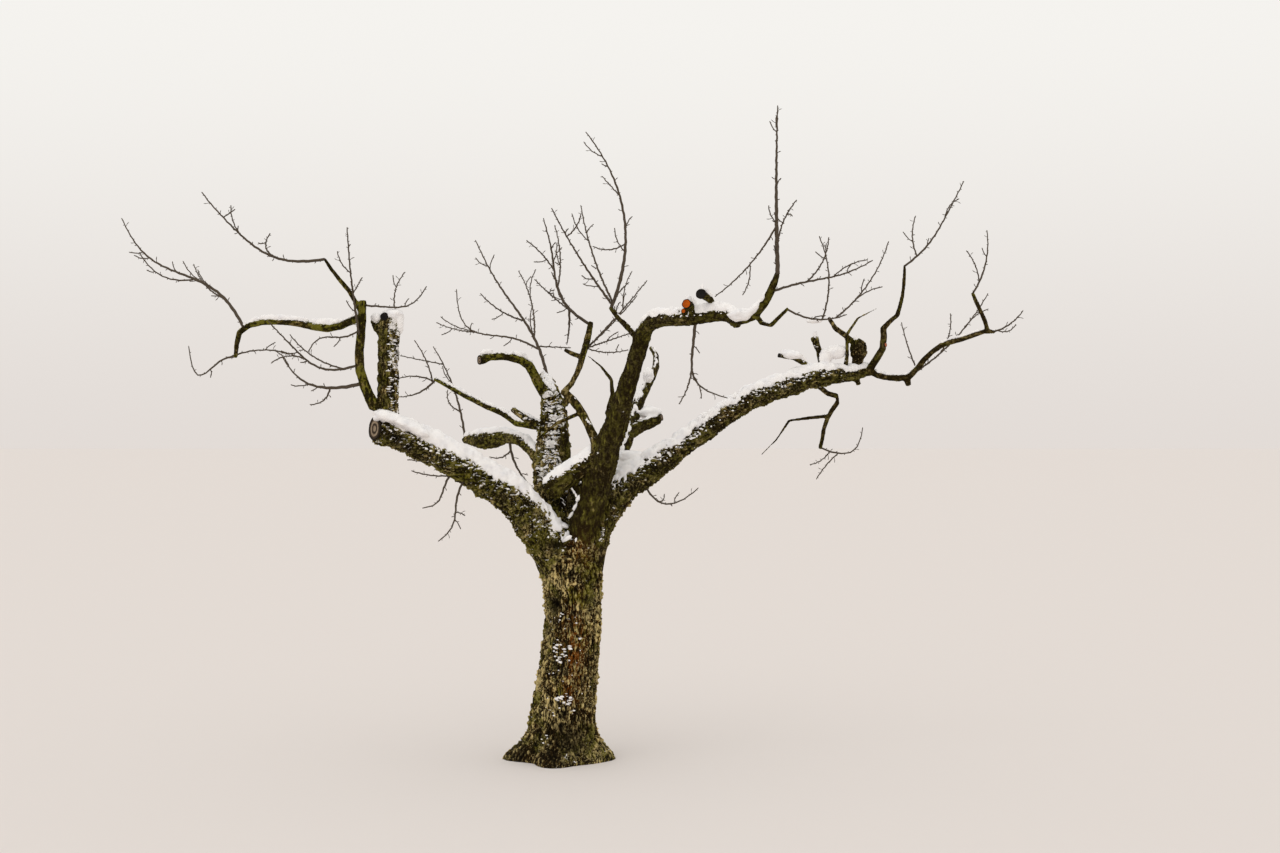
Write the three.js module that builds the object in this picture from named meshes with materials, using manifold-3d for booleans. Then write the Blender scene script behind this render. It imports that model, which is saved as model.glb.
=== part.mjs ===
// Bare winter tree: an old, hard-pruned orchard tree with snow lying along its limbs.
// Millimetres, +Z up, seen from the -Y side. The origin is the middle of the flat cut at ground level.
import * as THREE from "three";
import { mergeVertices } from "three/addons/utils/BufferGeometryUtils.js";
import Module from "manifold-3d";

const wasm = await Module();
wasm.setup();

// Driving dimensions of the view that the limbs are laid out in
const EYE_DISTANCE = 13300;
const EYE_RIGHT = 578;
const EYE_HEIGHT = 2486;

// Clear space between neighbouring solids, and the edge below which two corners of a solid are one
const GAP = 0.3;
const SMALLEST_EDGE = 0.05;

// Cut and broken side branches have this many sides
const STUB_SIDES = 6;

// Trunk: [height, centre to the right, diameter] from the ground cut to the crotch
const TRUNK = [
  [0, -6, 520], [150, -4, 494], [315, -4, 480], [495, 16, 452], [660, 40, 440], [800, 56, 424], [970, 76, 420],
  [1160, 78, 418], [1300, 68, 436], [1440, 58, 474], [1560, 50, 470], [1640, 46, 350],
];
const TRUNK_SIDES = 36;
const TRUNK_RINGS = 13;
// Rings crowd towards the ground by this power
const TRUNK_CROWDING = 1.4;
// Root buttresses: [compass bearing in degrees, reach beyond the trunk at the ground], with a deep gap where
// the reach is nothing, and the height by which they have sunk to about a third
const BUTTRESSES = [[178, 190], [112, 70], [55, 95], [3, 140], [-40, 50], [-100, 130], [-140, 0]];
const BUTTRESS_HEIGHT = 120;
const BUTTRESS_SHARPNESS = 9;
// Each buttress runs on as a rib up the trunk. Its crest keeps the trunk's diameter, and the furrows between
// lie this deep: how deep, how narrow the ribs are, how many degrees they turn on the way up, and the heights
// at which they have risen and begin to sink again
const RIB_HEIGHT = 22;
const RIB_SHARPNESS = 16;
const RIB_TURN = 34;
const RIB_RISEN = 180;
const RIB_SINKS = 1180;

// Snow: the share of a limb's width that it covers, and how its ends thin out
const SNOW_SPREAD = 0.86;
const SNOW_SIDES = 6;
const SNOW_END = 0.06;

// Twigs are three-sided. The seeded rule sets side twigs and short spurs at even steps along each shoot: their
// length from shortest to longest, girth at the foot, lean off the shoot, and turn round it in radians, where
// 0 is across the view and a quarter turn is along it, with a random spread about that turn.
const TWIG_SIDES = 3;
const SHOOT_STEP = 230;
const TIP_GIRTH = 5;
const TWIG_BOW = 0.08;
const TWIG_BEND = 120;
const HAIR = 0.001;
const SIDE_TWIG = { step: 640, length: [170, 330], girth: 10, lean: 0.75, turn: Math.PI / 2, spread: 1.2 };
const SPUR = { step: 560, length: [36, 70], girth: 10, lean: 1.0, turn: 0, spread: 1.6 };
const SEED = 1207;

// Boughs, in the order that they grow. Seen: [right, up] of points along the limb as they look from the
// front, in the trunk's plane. Away: how far its foot and its tip stand behind that plane. Girth: its
// diameters at the same points. Stubs are cut or broken side branches that are one with the limb.
const BOUGHS = [
  {
    name: "left_bough", away: [0, -700], sides: 11, rings: 13,
    seen: [[45, 1335], [-108, 1612], [-245, 1805], [-390, 1960], [-593, 2078], [-765, 2183], [-1163, 2385],
      [-1403, 2460]],
    girth: [350, 306, 264, 236, 212, 203, 195, 188],
  },
  {
    name: "right_bough", away: [10, 520], sides: 11, rings: 18,
    seen: [[95, 1350], [205, 1760], [308, 1905], [443, 2030], [690, 2190], [848, 2310], [1028, 2438],
      [1215, 2573], [1388, 2685], [1568, 2753], [1740, 2809], [1890, 2858], [2040, 2865], [2153, 2869], [2303, 2903]],
    girth: [390, 338, 296, 244, 188, 170, 158, 158, 154, 150, 150, 154, 114, 92, 66],
    stubs: [
      { seen: [[1740, 2800], [1765, 2735]], away: [395, 370], girth: [95, 70] },
      { seen: [[2180, 2870], [2215, 2800]], away: [495, 485], girth: [50, 34] },
      { seen: [[1900, 2860], [1800, 2970], [1705, 3005], [1620, 3018]], away: [440, 340], girth: [44, 38, 36, 34] },
      { seen: [[1905, 2860], [1935, 3000], [1905, 3080], [1880, 3158]], away: [450, 480], girth: [52, 40, 48, 58] },
      { seen: [[2105, 2870], [2130, 3050], [2140, 3240], [2250, 3320], [2348, 3368]], away: [470, 300],
        girth: [34, 27, 22, 12, 7] },
    ],
  },
  {
    name: "centre_leader", away: [60, 450], sides: 9, rings: 10,
    seen: [[20, 1420], [-8, 1785], [-75, 2010], [-83, 2198], [-75, 2385], [-60, 2573], [-90, 2723], [-125, 2840]],
    girth: [300, 300, 285, 268, 225, 188, 142, 96],
    stubs: [
      { seen: [[-120, 2810], [-152, 2890]], away: [440, 470], girth: [70, 56] },
      { seen: [[-60, 2250], [15, 2330], [22, 2465]], away: [250, 160], girth: [90, 72, 42] },
      { seen: [[-90, 2440], [-248, 2535], [-330, 2575], [-380, 2618]], away: [330, 260], girth: [70, 58, 48, 38] },
    ],
  },
  {
    name: "right_leader", away: [-10, -350], sides: 10, rings: 12,
    seen: [[120, 1500], [218, 1935], [285, 2160], [330, 2310], [398, 2498], [450, 2685], [503, 2850], [548, 3000],
      [585, 3128], [612, 3215]],
    girth: [280, 236, 210, 195, 180, 146, 130, 122, 120, 126],
    stubs: [
      { seen: [[360, 2480], [330, 2570], [360, 2670], [382, 2785], [320, 2900], [188, 3015]], away: [-190, -60],
        girth: [56, 42, 38, 34, 18, 8] },
      { seen: [[580, 3130], [510, 3203], [428, 3285], [352, 3383]], away: [-315, -200], girth: [62, 50, 42, 36] },
    ],
  },
  {
    name: "leader_arm", away: [-350, -900], sides: 9, rings: 10,
    seen: [[600, 3160], [640, 3248], [700, 3276], [788, 3288], [960, 3300], [1118, 3315], [1230, 3322], [1310, 3264]],
    girth: [110, 118, 112, 108, 118, 100, 94, 100],
    stubs: [
      { seen: [[1000, 3310], [965, 3370], [925, 3408]], away: [-610, -760], girth: [90, 78, 72] },
      { seen: [[960, 3320], [925, 3345], [902, 3352]], away: [-610, -710], girth: [46, 38, 34] },
      { seen: [[1150, 3330], [1100, 3440], [1032, 3482]], away: [-700, -840], girth: [44, 52, 74] },
    ],
  },
  {
    name: "leader_tip", away: [-900, -1120], sides: 7, rings: 7,
    seen: [[1290, 3290], [1418, 3315], [1500, 3405], [1553, 3488], [1583, 3563], [1609, 3640]],
    girth: [92, 86, 72, 62, 52, 42],
    stubs: [
      { seen: [[1440, 3330], [1485, 3263], [1534, 3229], [1598, 3285], [1688, 3371]], away: [-950, -1090],
        girth: [40, 36, 34, 28, 22] },
    ],
  },
  {
    name: "cross_limb", away: [-60, -110], sides: 9, rings: 6,
    seen: [[-105, 1990], [-23, 2075], [113, 2160], [255, 2262], [350, 2350]],
    girth: [180, 168, 160, 152, 140],
  },
  {
    name: "inner_bough", away: [-150, 60], sides: 7, rings: 6,
    seen: [[262, 2300], [235, 2400], [180, 2513], [135, 2603], [75, 2685], [0, 2753]],
    girth: [82, 72, 66, 64, 62, 58],
    stubs: [
      { seen: [[60, 2700], [30, 2690], [15, 2640]], away: [50, 20], girth: [50, 56, 44] },
      { seen: [[135, 2590], [-80, 2490], [-203, 2378]], away: [-40, -60], girth: [30, 24, 16] },
    ],
  },
  {
    name: "inner_riser", away: [50, 260], sides: 6, rings: 7,
    seen: [[10, 2745], [75, 2820], [128, 2940], [158, 3045], [188, 3150], [210, 3270]],
    girth: [46, 40, 45, 50, 50, 40],
    stubs: [{ seen: [[150, 3005], [70, 3030], [15, 3060]], away: [160, 90], girth: [40, 34, 28] }],
  },
  {
    name: "back_limb", away: [110, 1150], sides: 8, rings: 10,
    seen: [[400, 2080], [443, 2273], [503, 2460], [563, 2648], [623, 2783], [690, 2900], [700, 3008], [660, 3075]],
    girth: [110, 96, 92, 86, 74, 56, 42, 34],
    stubs: [
      { seen: [[500, 2430], [585, 2492], [653, 2515], [735, 2545]], away: [400, 480], girth: [90, 104, 96, 72] },
    ],
  },
  {
    name: "left_upright", away: [-655, -650], sides: 8, rings: 7,
    seen: [[-1300, 2410], [-1313, 2600], [-1308, 2760], [-1305, 2910], [-1298, 3135], [-1305, 3308]],
    girth: [190, 165, 152, 150, 154, 148],
    stubs: [{ seen: [[-1330, 3180], [-1400, 3230], [-1425, 3290]], away: [-655, -640], girth: [80, 56, 44] }],
  },
  {
    name: "left_riser", away: [-690, -750], sides: 7, rings: 8,
    seen: [[-1350, 2430], [-1383, 2580], [-1440, 2700], [-1508, 2865], [-1523, 3023], [-1508, 3173], [-1496, 3428]],
    girth: [100, 90, 83, 76, 74, 68, 60],
  },
  {
    name: "left_arm", away: [-720, -330], sides: 7, rings: 12,
    seen: [[-1500, 3310], [-1570, 3280], [-1635, 3248], [-1763, 3221], [-2010, 3262], [-2205, 3270], [-2333, 3248],
      [-2415, 3195], [-2438, 3113], [-2448, 3000]],
    girth: [60, 60, 58, 66, 50, 46, 46, 44, 34, 26],
  },
  {
    name: "left_spar", away: [-740, -900], sides: 6, rings: 5,
    seen: [[-1500, 3330], [-1548, 3413], [-1605, 3510], [-1703, 3623], [-1785, 3745]],
    girth: [40, 36, 32, 28, 22],
  },
  {
    name: "centre_elbow", away: [420, 60], sides: 7, rings: 9,
    seen: [[-100, 2690], [-150, 2755], [-190, 2820], [-225, 2895], [-263, 2955], [-338, 2989], [-428, 3008],
      [-540, 3008], [-618, 2985]],
    girth: [84, 78, 74, 70, 66, 60, 58, 60, 84],
  },
  {
    name: "centre_arch", away: [260, 1300], sides: 8, rings: 9,
    seen: [[-90, 2150], [-180, 2250], [-250, 2335], [-335, 2388], [-440, 2408], [-545, 2385], [-660, 2385],
      [-735, 2388]],
    girth: [120, 104, 90, 84, 100, 162, 92, 50],
  },
  {
    name: "centre_spar", away: [340, 900], sides: 6, rings: 7,
    seen: [[-70, 2480], [-240, 2490], [-353, 2513], [-465, 2595], [-615, 2655], [-803, 2756], [-960, 2843]],
    girth: [60, 54, 48, 46, 40, 34, 26],
  },
  {
    name: "right_knee", away: [500, 300], sides: 6, rings: 12,
    seen: [[2270, 2880], [2355, 3000], [2400, 3098], [2400, 3225], [2423, 3263], [2483, 3285], [2520, 3375],
      [2543, 3473], [2554, 3585], [2557, 3695]],
    girth: [62, 54, 50, 48, 46, 38, 32, 26, 22, 18],
  },
  {
    name: "right_arm", away: [520, 180], sides: 6, rings: 13,
    seen: [[2290, 2905], [2378, 2861], [2475, 2850], [2573, 2850], [2625, 2888], [2685, 2963], [2745, 3030],
      [2843, 3098], [3000, 3143], [3165, 3199], [3235, 3195]],
    girth: [50, 46, 46, 50, 46, 44, 42, 40, 38, 34, 26],
    stubs: [{ seen: [[2573, 2850], [2590, 2790]], away: [425, 415], girth: [60, 44] }],
  },
  {
    name: "right_riser", away: [200, 330], sides: 6, rings: 4,
    seen: [[3180, 3195], [3150, 3300], [3105, 3390], [3064, 3488]],
    girth: [34, 32, 30, 26],
  },
  {
    name: "right_hanger", away: [440, 700], sides: 6, rings: 9,
    seen: [[1865, 2840], [1973, 2738], [2078, 2700], [2033, 2640], [1995, 2573], [1958, 2490], [1943, 2400],
      [1925, 2322]],
    girth: [42, 38, 36, 36, 34, 32, 30, 28],
    stubs: [
      { seen: [[1990, 2565], [1880, 2540], [1740, 2569], [1600, 2390], [1485, 2273]], away: [600, 430],
        girth: [28, 26, 22, 13, 7] },
    ],
  },
  {
    name: "burr", away: [520, 420], sides: 8, rings: 5,
    seen: [[2165, 2880], [2200, 2960], [2213, 3010], [2213, 3060], [2210, 3105], [2190, 3135]],
    girth: [60, 60, 110, 136, 108, 50],
    stubs: [
      { seen: [[2190, 3100], [2100, 3180], [2010, 3248], [1990, 3300]], away: [450, 330], girth: [44, 40, 36, 30] },
    ],
  },
];

// Masses of bare twigs. The first shoot of a mass is its stem, with its foot sunk in the bough that bears it;
// each other one springs from an earlier shoot (on) at a share of its length (at). Foot and tip are
// [right, up, away] as seen from the front; bow and sway bend the shoot to its left; girth is at its foot.
const MASSES = [
  { name: "twigs_far_left", shoots: [
    { foot: [-2385, 3225, -440], tip: [-3300, 4043, -150], bow: 10, sway: -75, girth: 24 },
    { on: 0, at: 0.42, tip: [-3165, 3788, -420], bow: 85, girth: 12 },
    { on: 0, at: 0.2, tip: [-2760, 3700, 180], bow: 40, girth: 12 },
  ] },
  { name: "twigs_left_spar", shoots: [
    { foot: [-1780, 3738, -897], tip: [-2700, 4238, -1050], bow: 165, sway: 25, girth: 20 },
    { on: 0, at: 0.78, tip: [-2453, 4110, -900], girth: 9 },
    { on: 0, at: 0.3, tip: [-2190, 3930, -1350], bow: 60, girth: 12 },
  ] },
  { name: "twigs_left_fall", shoots: [
    { foot: [-2448, 3010, -332], tip: [-2798, 3083, -60], bow: 150, sway: -70, girth: 15 },
    { on: 0, at: 0.12, tip: [-1943, 2993, -560], bow: 60, girth: 12 },
  ] },
  { name: "twigs_left_riser", shoots: [
    { foot: [-1520, 2950, -722], tip: [-2205, 3278, -1080], bow: 140, sway: 30, girth: 18 },
    { on: 0, at: 0.12, tip: [-2040, 3173, -480], bow: 45, girth: 12 },
    { on: 0, at: 0.5, tip: [-2180, 2960, -1150], bow: -40, girth: 10 },
  ] },
  { name: "twigs_left_low", shoots: [
    { foot: [-1500, 2810, -715], tip: [-2093, 3000, -640], bow: 126, sway: -10, girth: 27 },
    { on: 0, at: 0.35, tip: [-1890, 2650, -420], bow: 40, girth: 13 },
  ] },
  { name: "twigs_left_top", shoots: [
    { foot: [-1514, 3125, -752], tip: [-1613, 3975, -930], bow: 14, girth: 17 },
    { on: 0, at: 0.42, tip: [-1500, 3600, -960], girth: 9 },
    { on: 0, at: 0.09, tip: [-1905, 3045, -1000], bow: -35, sway: 30, girth: 13 },
  ] },
  { name: "twigs_left_inward", shoots: [
    { foot: [-1496, 3395, -750], tip: [-1020, 3533, -560], bow: -90, sway: 20, girth: 14 },
    { on: 0, at: 0.45, tip: [-1180, 3640, -260], bow: 30, girth: 10 },
  ] },
  { name: "twigs_arch_end", shoots: [
    { foot: [-730, 2375, 1290], tip: [-968, 3083, 1420], bow: -45, girth: 20 },
    { on: 0, at: 0.8, tip: [-1215, 3015, 1250], girth: 10 },
    { on: 0, at: 0.3, tip: [-860, 2760, 1700], bow: 40, girth: 13 },
  ] },
  { name: "twigs_spar_end", shoots: [
    { foot: [-950, 2838, 893], tip: [-1223, 2708, 1060], bow: 35, girth: 18 },
    { on: 0, at: 0.06, tip: [-1240, 2840, 760], bow: -30, girth: 13 },
    { on: 0, at: 0.1, tip: [-1110, 3130, 1010], bow: -20, girth: 12 },
  ] },
  { name: "twigs_under_left", shoots: [
    { foot: [-760, 2110, -505], tip: [-930, 1628, -430], bow: 35, sway: -25, girth: 17 },
    { on: 0, at: 0.17, tip: [-1050, 1875, -640], bow: 40, girth: 14 },
    { on: 0, at: 0.14, tip: [-1130, 2125, -700], bow: 30, girth: 11 },
    { on: 0, at: 0.15, tip: [-1160, 2180, -370], bow: 30, girth: 10 },
    { on: 0, at: 0.55, tip: [-735, 1815, -330], girth: 8 },
  ] },
  { name: "twigs_under_arch", shoots: [
    { foot: [-398, 2375, 756], tip: [-195, 2003, 620], bow: -45, girth: 22 },
    { on: 0, at: 0.15, tip: [-548, 2258, 900], bow: 30, girth: 14 },
  ] },
  { name: "twigs_under_right", shoots: [
    { foot: [600, 2075, 140], tip: [1013, 2025, -40], bow: -145, sway: -10, girth: 15 },
    { on: 0, at: 0.25, tip: [760, 1980, 330], bow: -40, girth: 10 },
  ] },
  { name: "twigs_leader", shoots: [
    { foot: [-105, 2800, 440], tip: [-653, 3878, 760], bow: -40, sway: -30, girth: 26 },
    { on: 0, at: 0.42, tip: [-615, 3480, 260], bow: 30, girth: 14 },
    { on: 0, at: 0.22, tip: [-795, 3510, 1150], bow: 140, sway: -65, girth: 16 },
    { on: 2, at: 0.6, tip: [-945, 3263, 1320], bow: 15, girth: 11 },
    { on: 0, at: 0.24, tip: [60, 3075, 700], girth: 12 },
    { on: 0, at: 0.3, tip: [-330, 3650, 1250], bow: -40, girth: 14 },
  ] },
  { name: "twigs_inner", shoots: [
    { foot: [204, 3250, 256], tip: [-143, 4043, 60], bow: 96, sway: 36, girth: 24 },
    { on: 0, at: 0.55, tip: [-270, 3878, -210], bow: -15, girth: 12 },
    { on: 0, at: 0.25, tip: [-83, 3640, 330], girth: 10 },
    { on: 0, at: 0.08, tip: [-210, 3585, -470], bow: 10, girth: 13 },
    { on: 0, at: 0.2, tip: [30, 3100, 420], bow: 10, girth: 20 },
    { on: 0, at: 0.4, tip: [-60, 3990, 560], bow: -30, girth: 13 },
  ] },
  { name: "twigs_fan", shoots: [
    { foot: [157, 3045, 176], tip: [630, 3578, 620], bow: -10, girth: 16 },
    { on: 0, at: 0.06, tip: [518, 3188, -330], girth: 12 },
    { on: 0, at: 0.1, tip: [555, 3465, -60], bow: -10, girth: 12 },
    { on: 0, at: 0.05, tip: [488, 3060, 620], bow: -25, girth: 11 },
  ] },
  { name: "twigs_tall", shoots: [
    { foot: [360, 3368, -205], tip: [173, 4688, -330], bow: -195, girth: 27 },
    { on: 0, at: 0.62, tip: [293, 4358, -60], girth: 10 },
    { on: 0, at: 0.35, tip: [225, 3833, 40], bow: 35, girth: 11 },
    { on: 0, at: 0.02, tip: [-83, 4118, -720], bow: 20, girth: 18 },
    { on: 3, at: 0.72, tip: [135, 4073, -880], bow: -20, girth: 10 },
    { on: 0, at: 0.03, tip: [135, 4140, 150], bow: 30, girth: 16 },
    { on: 0, at: 0.04, tip: [495, 3563, -420], bow: 10, girth: 12 },
  ] },
  { name: "twigs_top", shoots: [
    { foot: [1609, 3625, -1118], tip: [1608, 4886, -1240], bow: 10, girth: 32 },
    { on: 0, at: 0.29, tip: [1140, 3458, -1120], bow: 40, girth: 13 },
    { on: 0, at: 0.12, tip: [1750, 4180, -1560], bow: 40, girth: 13 },
  ] },
  { name: "twigs_tip_right", shoots: [
    { foot: [1556, 3492, -1032], tip: [2318, 3728, -800], bow: -20, sway: 15, girth: 17 },
    { on: 0, at: 0.35, tip: [1990, 3900, -1350], bow: -40, girth: 11 },
  ] },
  { name: "twigs_hook", shoots: [
    { foot: [1682, 3362, -1088], tip: [2123, 3323, -900], bow: -55, girth: 15 },
    { on: 0, at: 0.6, tip: [1920, 3908, -1040], bow: -60, girth: 12 },
    { on: 0, at: 0.82, tip: [2438, 3870, -640], bow: -55, girth: 12 },
  ] },
  { name: "twigs_arm_hang", shoots: [
    { foot: [998, 3285, -672], tip: [1230, 2700, -480], bow: -160, sway: 35, girth: 23 },
    { on: 0, at: 0.5, tip: [870, 2655, -860], bow: 20, girth: 14 },
  ] },
  { name: "twigs_knee", shoots: [
    { foot: [2557, 3685, 300], tip: [3000, 4320, 80], bow: -50, sway: -10, girth: 16 },
    { on: 0, at: 0.15, tip: [2640, 4060, 620], bow: 30, girth: 12 },
  ] },
  { name: "twigs_arm_up", shoots: [
    { foot: [2625, 2882, 384], tip: [3180, 3480, 640], bow: -50, girth: 14 },
    { on: 0, at: 0.04, tip: [2535, 3263, 560], bow: 10, girth: 12 },
    { on: 0, at: 0.3, tip: [2900, 3330, 60], bow: -30, girth: 10 },
  ] },
  { name: "twigs_riser", shoots: [
    { foot: [3066, 3478, 328], tip: [3173, 3953, 440], bow: -45, girth: 15 },
    { on: 0, at: 0.2, tip: [3020, 3800, 80], bow: -20, girth: 10 },
  ] },
  { name: "twigs_right_end", shoots: [
    { foot: [3225, 3196, 184], tip: [3443, 3353, 40], bow: -25, girth: 14 },
    { on: 0, at: 0.1, tip: [3390, 3250, 420], bow: -30, girth: 10 },
  ] },
  { name: "twigs_hanger", shoots: [
    { foot: [1926, 2330, 698], tip: [2243, 2475, 860], bow: -125, sway: 10, girth: 14 },
    { on: 0, at: 0.3, tip: [1898, 2093, 560], bow: -10, girth: 10 },
    { on: 0, at: 0.15, tip: [1850, 2200, 980], bow: 20, girth: 10 },
  ] },
];

// Snow lying along a bough's upper side, from one share of its length to another
const SNOW = [
  { name: "snow_left_bough", along: "left_bough", span: [0.24, 0.97], height: 64, rings: 9 },
  { name: "snow_right_bough", along: "right_bough", span: [0.26, 0.93], height: 62, rings: 12 },
  { name: "snow_cross_limb", along: "cross_limb", span: [0.16, 0.93], height: 46, rings: 5 },
  { name: "snow_leader_arm", along: "leader_arm", span: [0.1, 0.86], height: 68, rings: 7 },
  { name: "snow_leader_tip", along: "leader_tip", span: [0.06, 0.5], height: 44, rings: 4 },
  { name: "snow_left_arm", along: "left_arm", span: [0.1, 0.82], height: 46, rings: 9 },
  { name: "snow_centre_elbow", along: "centre_elbow", span: [0.42, 0.97], height: 40, rings: 5 },
  { name: "snow_centre_arch", along: "centre_arch", span: [0.24, 0.97], height: 54, rings: 6 },
];

// Moves a point seen in the trunk's plane back along the line of sight by its depth
function place([right, up, away]) {
  const spread = 1 + away / EYE_DISTANCE;
  return new THREE.Vector3(EYE_RIGHT + (right - EYE_RIGHT) * spread, away, EYE_HEIGHT + (up - EYE_HEIGHT) * spread);
}

// Value at a share of the way along a list of even steps
function valueAt(list, share) {
  const spot = share * (list.length - 1);
  const step = Math.min(Math.floor(spot), list.length - 2);
  return THREE.MathUtils.lerp(list[step], list[step + 1], spot - step);
}

// Smooth centre line of a bough through the points it is seen at
function centreLine({ seen, away }) {
  const last = seen.length - 1;
  const points = seen.map(([right, up], i) => place([right, up, valueAt(away, i / last)]));
  return new THREE.CatmullRomCurve3(points, false, "centripetal");
}

// One closed solid from a closed three.js shape
function solidOf(shape) {
  shape.deleteAttribute("normal");
  shape.deleteAttribute("uv");
  const merged = mergeVertices(shape);
  const vertProperties = new Float32Array(merged.attributes.position.array);
  const triVerts = new Uint32Array(merged.index.array);
  return new wasm.Manifold(new wasm.Mesh({ numProp: 3, vertProperties, triVerts }));
}

// Closed tapering tube along a line; growth makes it that much larger all over
function tube(line, girth, sides, rings, growth = 0) {
  const shape = new THREE.CylinderGeometry(1, 1, 1, sides, rings);
  const frames = line.computeFrenetFrames(rings, false);
  const positions = shape.attributes.position;
  const corner = new THREE.Vector3();
  const cornerGrowth = growth / Math.cos(Math.PI / sides);
  for (let i = 0; i < positions.count; i += 1) {
    corner.fromBufferAttribute(positions, i);
    const share = corner.y + 0.5;
    const ring = Math.round(share * rings);
    const spot = line.getPointAt(share);
    const size = valueAt(girth, line.getUtoTmapping(share));
    const radius = (size / 2) * (1 + spot.y / EYE_DISTANCE) + cornerGrowth;
    const past = ring === 0 ? -growth : ring === rings ? growth : 0;
    spot.addScaledVector(frames.tangents[ring], past);
    spot.addScaledVector(frames.normals[ring], corner.x * radius);
    spot.addScaledVector(frames.binormals[ring], -corner.z * radius);
    positions.setXYZ(i, spot.x, spot.y, spot.z);
  }
  return solidOf(shape);
}

// Trunk with its root buttresses: flat at the ground, round at the crotch
function trunkSolid(growth = 0) {
  const shape = new THREE.CylinderGeometry(1, 1, 1, TRUNK_SIDES, TRUNK_RINGS);
  const positions = shape.attributes.position;
  const top = TRUNK[TRUNK.length - 1][0];
  for (let i = 0; i < positions.count; i += 1) {
    const height = top * (positions.getY(i) + 0.5) ** TRUNK_CROWDING;
    const above = TRUNK.findIndex(([level], n) => n > 0 && level >= height);
    const [low, high] = [TRUNK[above - 1], TRUNK[above]];
    const share = (height - low[0]) / (high[0] - low[0]);
    const centre = THREE.MathUtils.lerp(low[1], high[1], share);
    const bearing = Math.atan2(-positions.getZ(i), positions.getX(i));
    const fallen = Math.exp(-((height / BUTTRESS_HEIGHT) ** 2));
    const risen = THREE.MathUtils.smoothstep(height, 0, RIB_RISEN);
    const raised = risen * (1 - THREE.MathUtils.smoothstep(height, RIB_SINKS, top));
    const turned = RIB_TURN * (height / top);
    const relief = BUTTRESSES.reduce((sum, [compass, reach]) => {
      const facing = (way) => Math.max(0, Math.cos(bearing - THREE.MathUtils.degToRad(way)));
      const buttress = reach * fallen * facing(compass) ** BUTTRESS_SHARPNESS;
      return sum + buttress + RIB_HEIGHT * raised * facing(compass + turned) ** RIB_SHARPNESS;
    }, -RIB_HEIGHT * raised);
    const radius = THREE.MathUtils.lerp(low[2], high[2], share) / 2 + relief;
    const reach = Math.hypot(positions.getX(i), positions.getZ(i)) * (radius + growth);
    positions.setXYZ(i, centre + reach * Math.cos(bearing), reach * Math.sin(bearing), height);
  }
  return solidOf(shape);
}

// Every solid that stands so far: its name, its solid, its sleeve (the same one, larger by the gap) and finish
const standing = [];

function boxesMeet(one, other) {
  const [a, b] = [one.boundingBox(), other.boundingBox()];
  return [0, 1, 2].every((axis) => a.min[axis] <= b.max[axis] && b.min[axis] <= a.max[axis]);
}

// Cuts a solid clear of all that stand already, keeps its main piece, and stands it with them
function stand(name, solid, sleeve, finish) {
  const clear = standing
    .filter((other) => boxesMeet(other.sleeve, solid))
    .reduce((rest, other) => rest.subtract(other.sleeve), solid);
  const [main] = clear.simplify(SMALLEST_EDGE).decompose().sort((a, b) => b.volume() - a.volume());
  standing.push({ name, solid: main, sleeve, finish });
}

function standBough({ name, sides, rings, seen, away, girth, stubs = [] }) {
  const make = (growth) => stubs.reduce(
    (bough, stub) => bough.add(tube(centreLine(stub), stub.girth, STUB_SIDES, stub.seen.length - 1, growth)),
    tube(centreLine({ seen, away }), girth, sides, rings, growth),
  );
  stand(name, make(0), make(GAP), bark);
}

// Seeded numbers from 0 to 1, the same on every run
function seeded(seed) {
  let state = seed;
  return () => {
    state = (state * 1664525 + 1013904223) % 4294967296;
    return state / 4294967296;
  };
}

// A shoot's line: from foot to tip as seen from the front, bowed and swayed to its left, in straight runs
// between its knuckles
class Shoot extends THREE.Curve {
  constructor({ foot, tip, bow = 0, sway = 0 }) {
    super();
    const start = new THREE.Vector3(...foot);
    const along = new THREE.Vector3(...tip).sub(start);
    const left = new THREE.Vector3(-along.y, along.x, 0).normalize();
    this.rings = along.length() < TWIG_BEND ? 1 : Math.max(2, Math.round(along.length() / SHOOT_STEP));
    this.knuckles = Array.from({ length: this.rings + 1 }, (_, i) => {
      const share = i / this.rings;
      const aside = bow * 4 * share * (1 - share) + sway * Math.sin(2 * Math.PI * share);
      return start.clone().addScaledVector(along, share).addScaledVector(left, aside);
    });
  }

  seenAt(share) {
    const spot = share * this.rings;
    const knuckle = Math.min(Math.floor(spot), this.rings - 1);
    return this.knuckles[knuckle].clone().lerp(this.knuckles[knuckle + 1], spot - knuckle);
  }

  getPoint(share) {
    return place(this.seenAt(THREE.MathUtils.clamp(share, 0, 1)).toArray());
  }

  getUtoTmapping(share) {
    return share;
  }

  // A side twig that leans off this shoot, turned round it by an angle that is 0 to its left
  side(share, length, lean, turn) {
    const foot = this.seenAt(share);
    const ahead = this.seenAt(share + HAIR).sub(foot).normalize();
    const left = new THREE.Vector3(-ahead.y, ahead.x, 0).normalize();
    const back = new THREE.Vector3().crossVectors(left, ahead);
    const tip = foot.clone()
      .addScaledVector(ahead, length * Math.cos(lean))
      .addScaledVector(left, length * Math.sin(lean) * Math.cos(turn))
      .addScaledVector(back, length * Math.sin(lean) * Math.sin(turn));
    return new Shoot({ foot: foot.toArray(), tip: tip.toArray(), bow: length * TWIG_BOW });
  }

  // Twigs at even steps along the shoot, on one side and the other by turns
  sides({ step, length, girth, lean, turn, spread }, random) {
    const count = Math.floor(this.getLength() / step);
    return Array.from({ length: count }, (_, i) => {
      const share = (i + 0.5 + 0.5 * (random() - 0.5)) / count;
      const around = turn + (i % 2) * Math.PI + spread * (random() - 0.5);
      const reach = THREE.MathUtils.lerp(length[0], length[1], random());
      return { line: this.side(share, reach, lean, around), girth };
    });
  }
}

function twigSolid({ line, girth }, growth = 0) {
  return tube(line, [girth, TIP_GIRTH], TWIG_SIDES, line.rings, growth);
}

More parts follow.
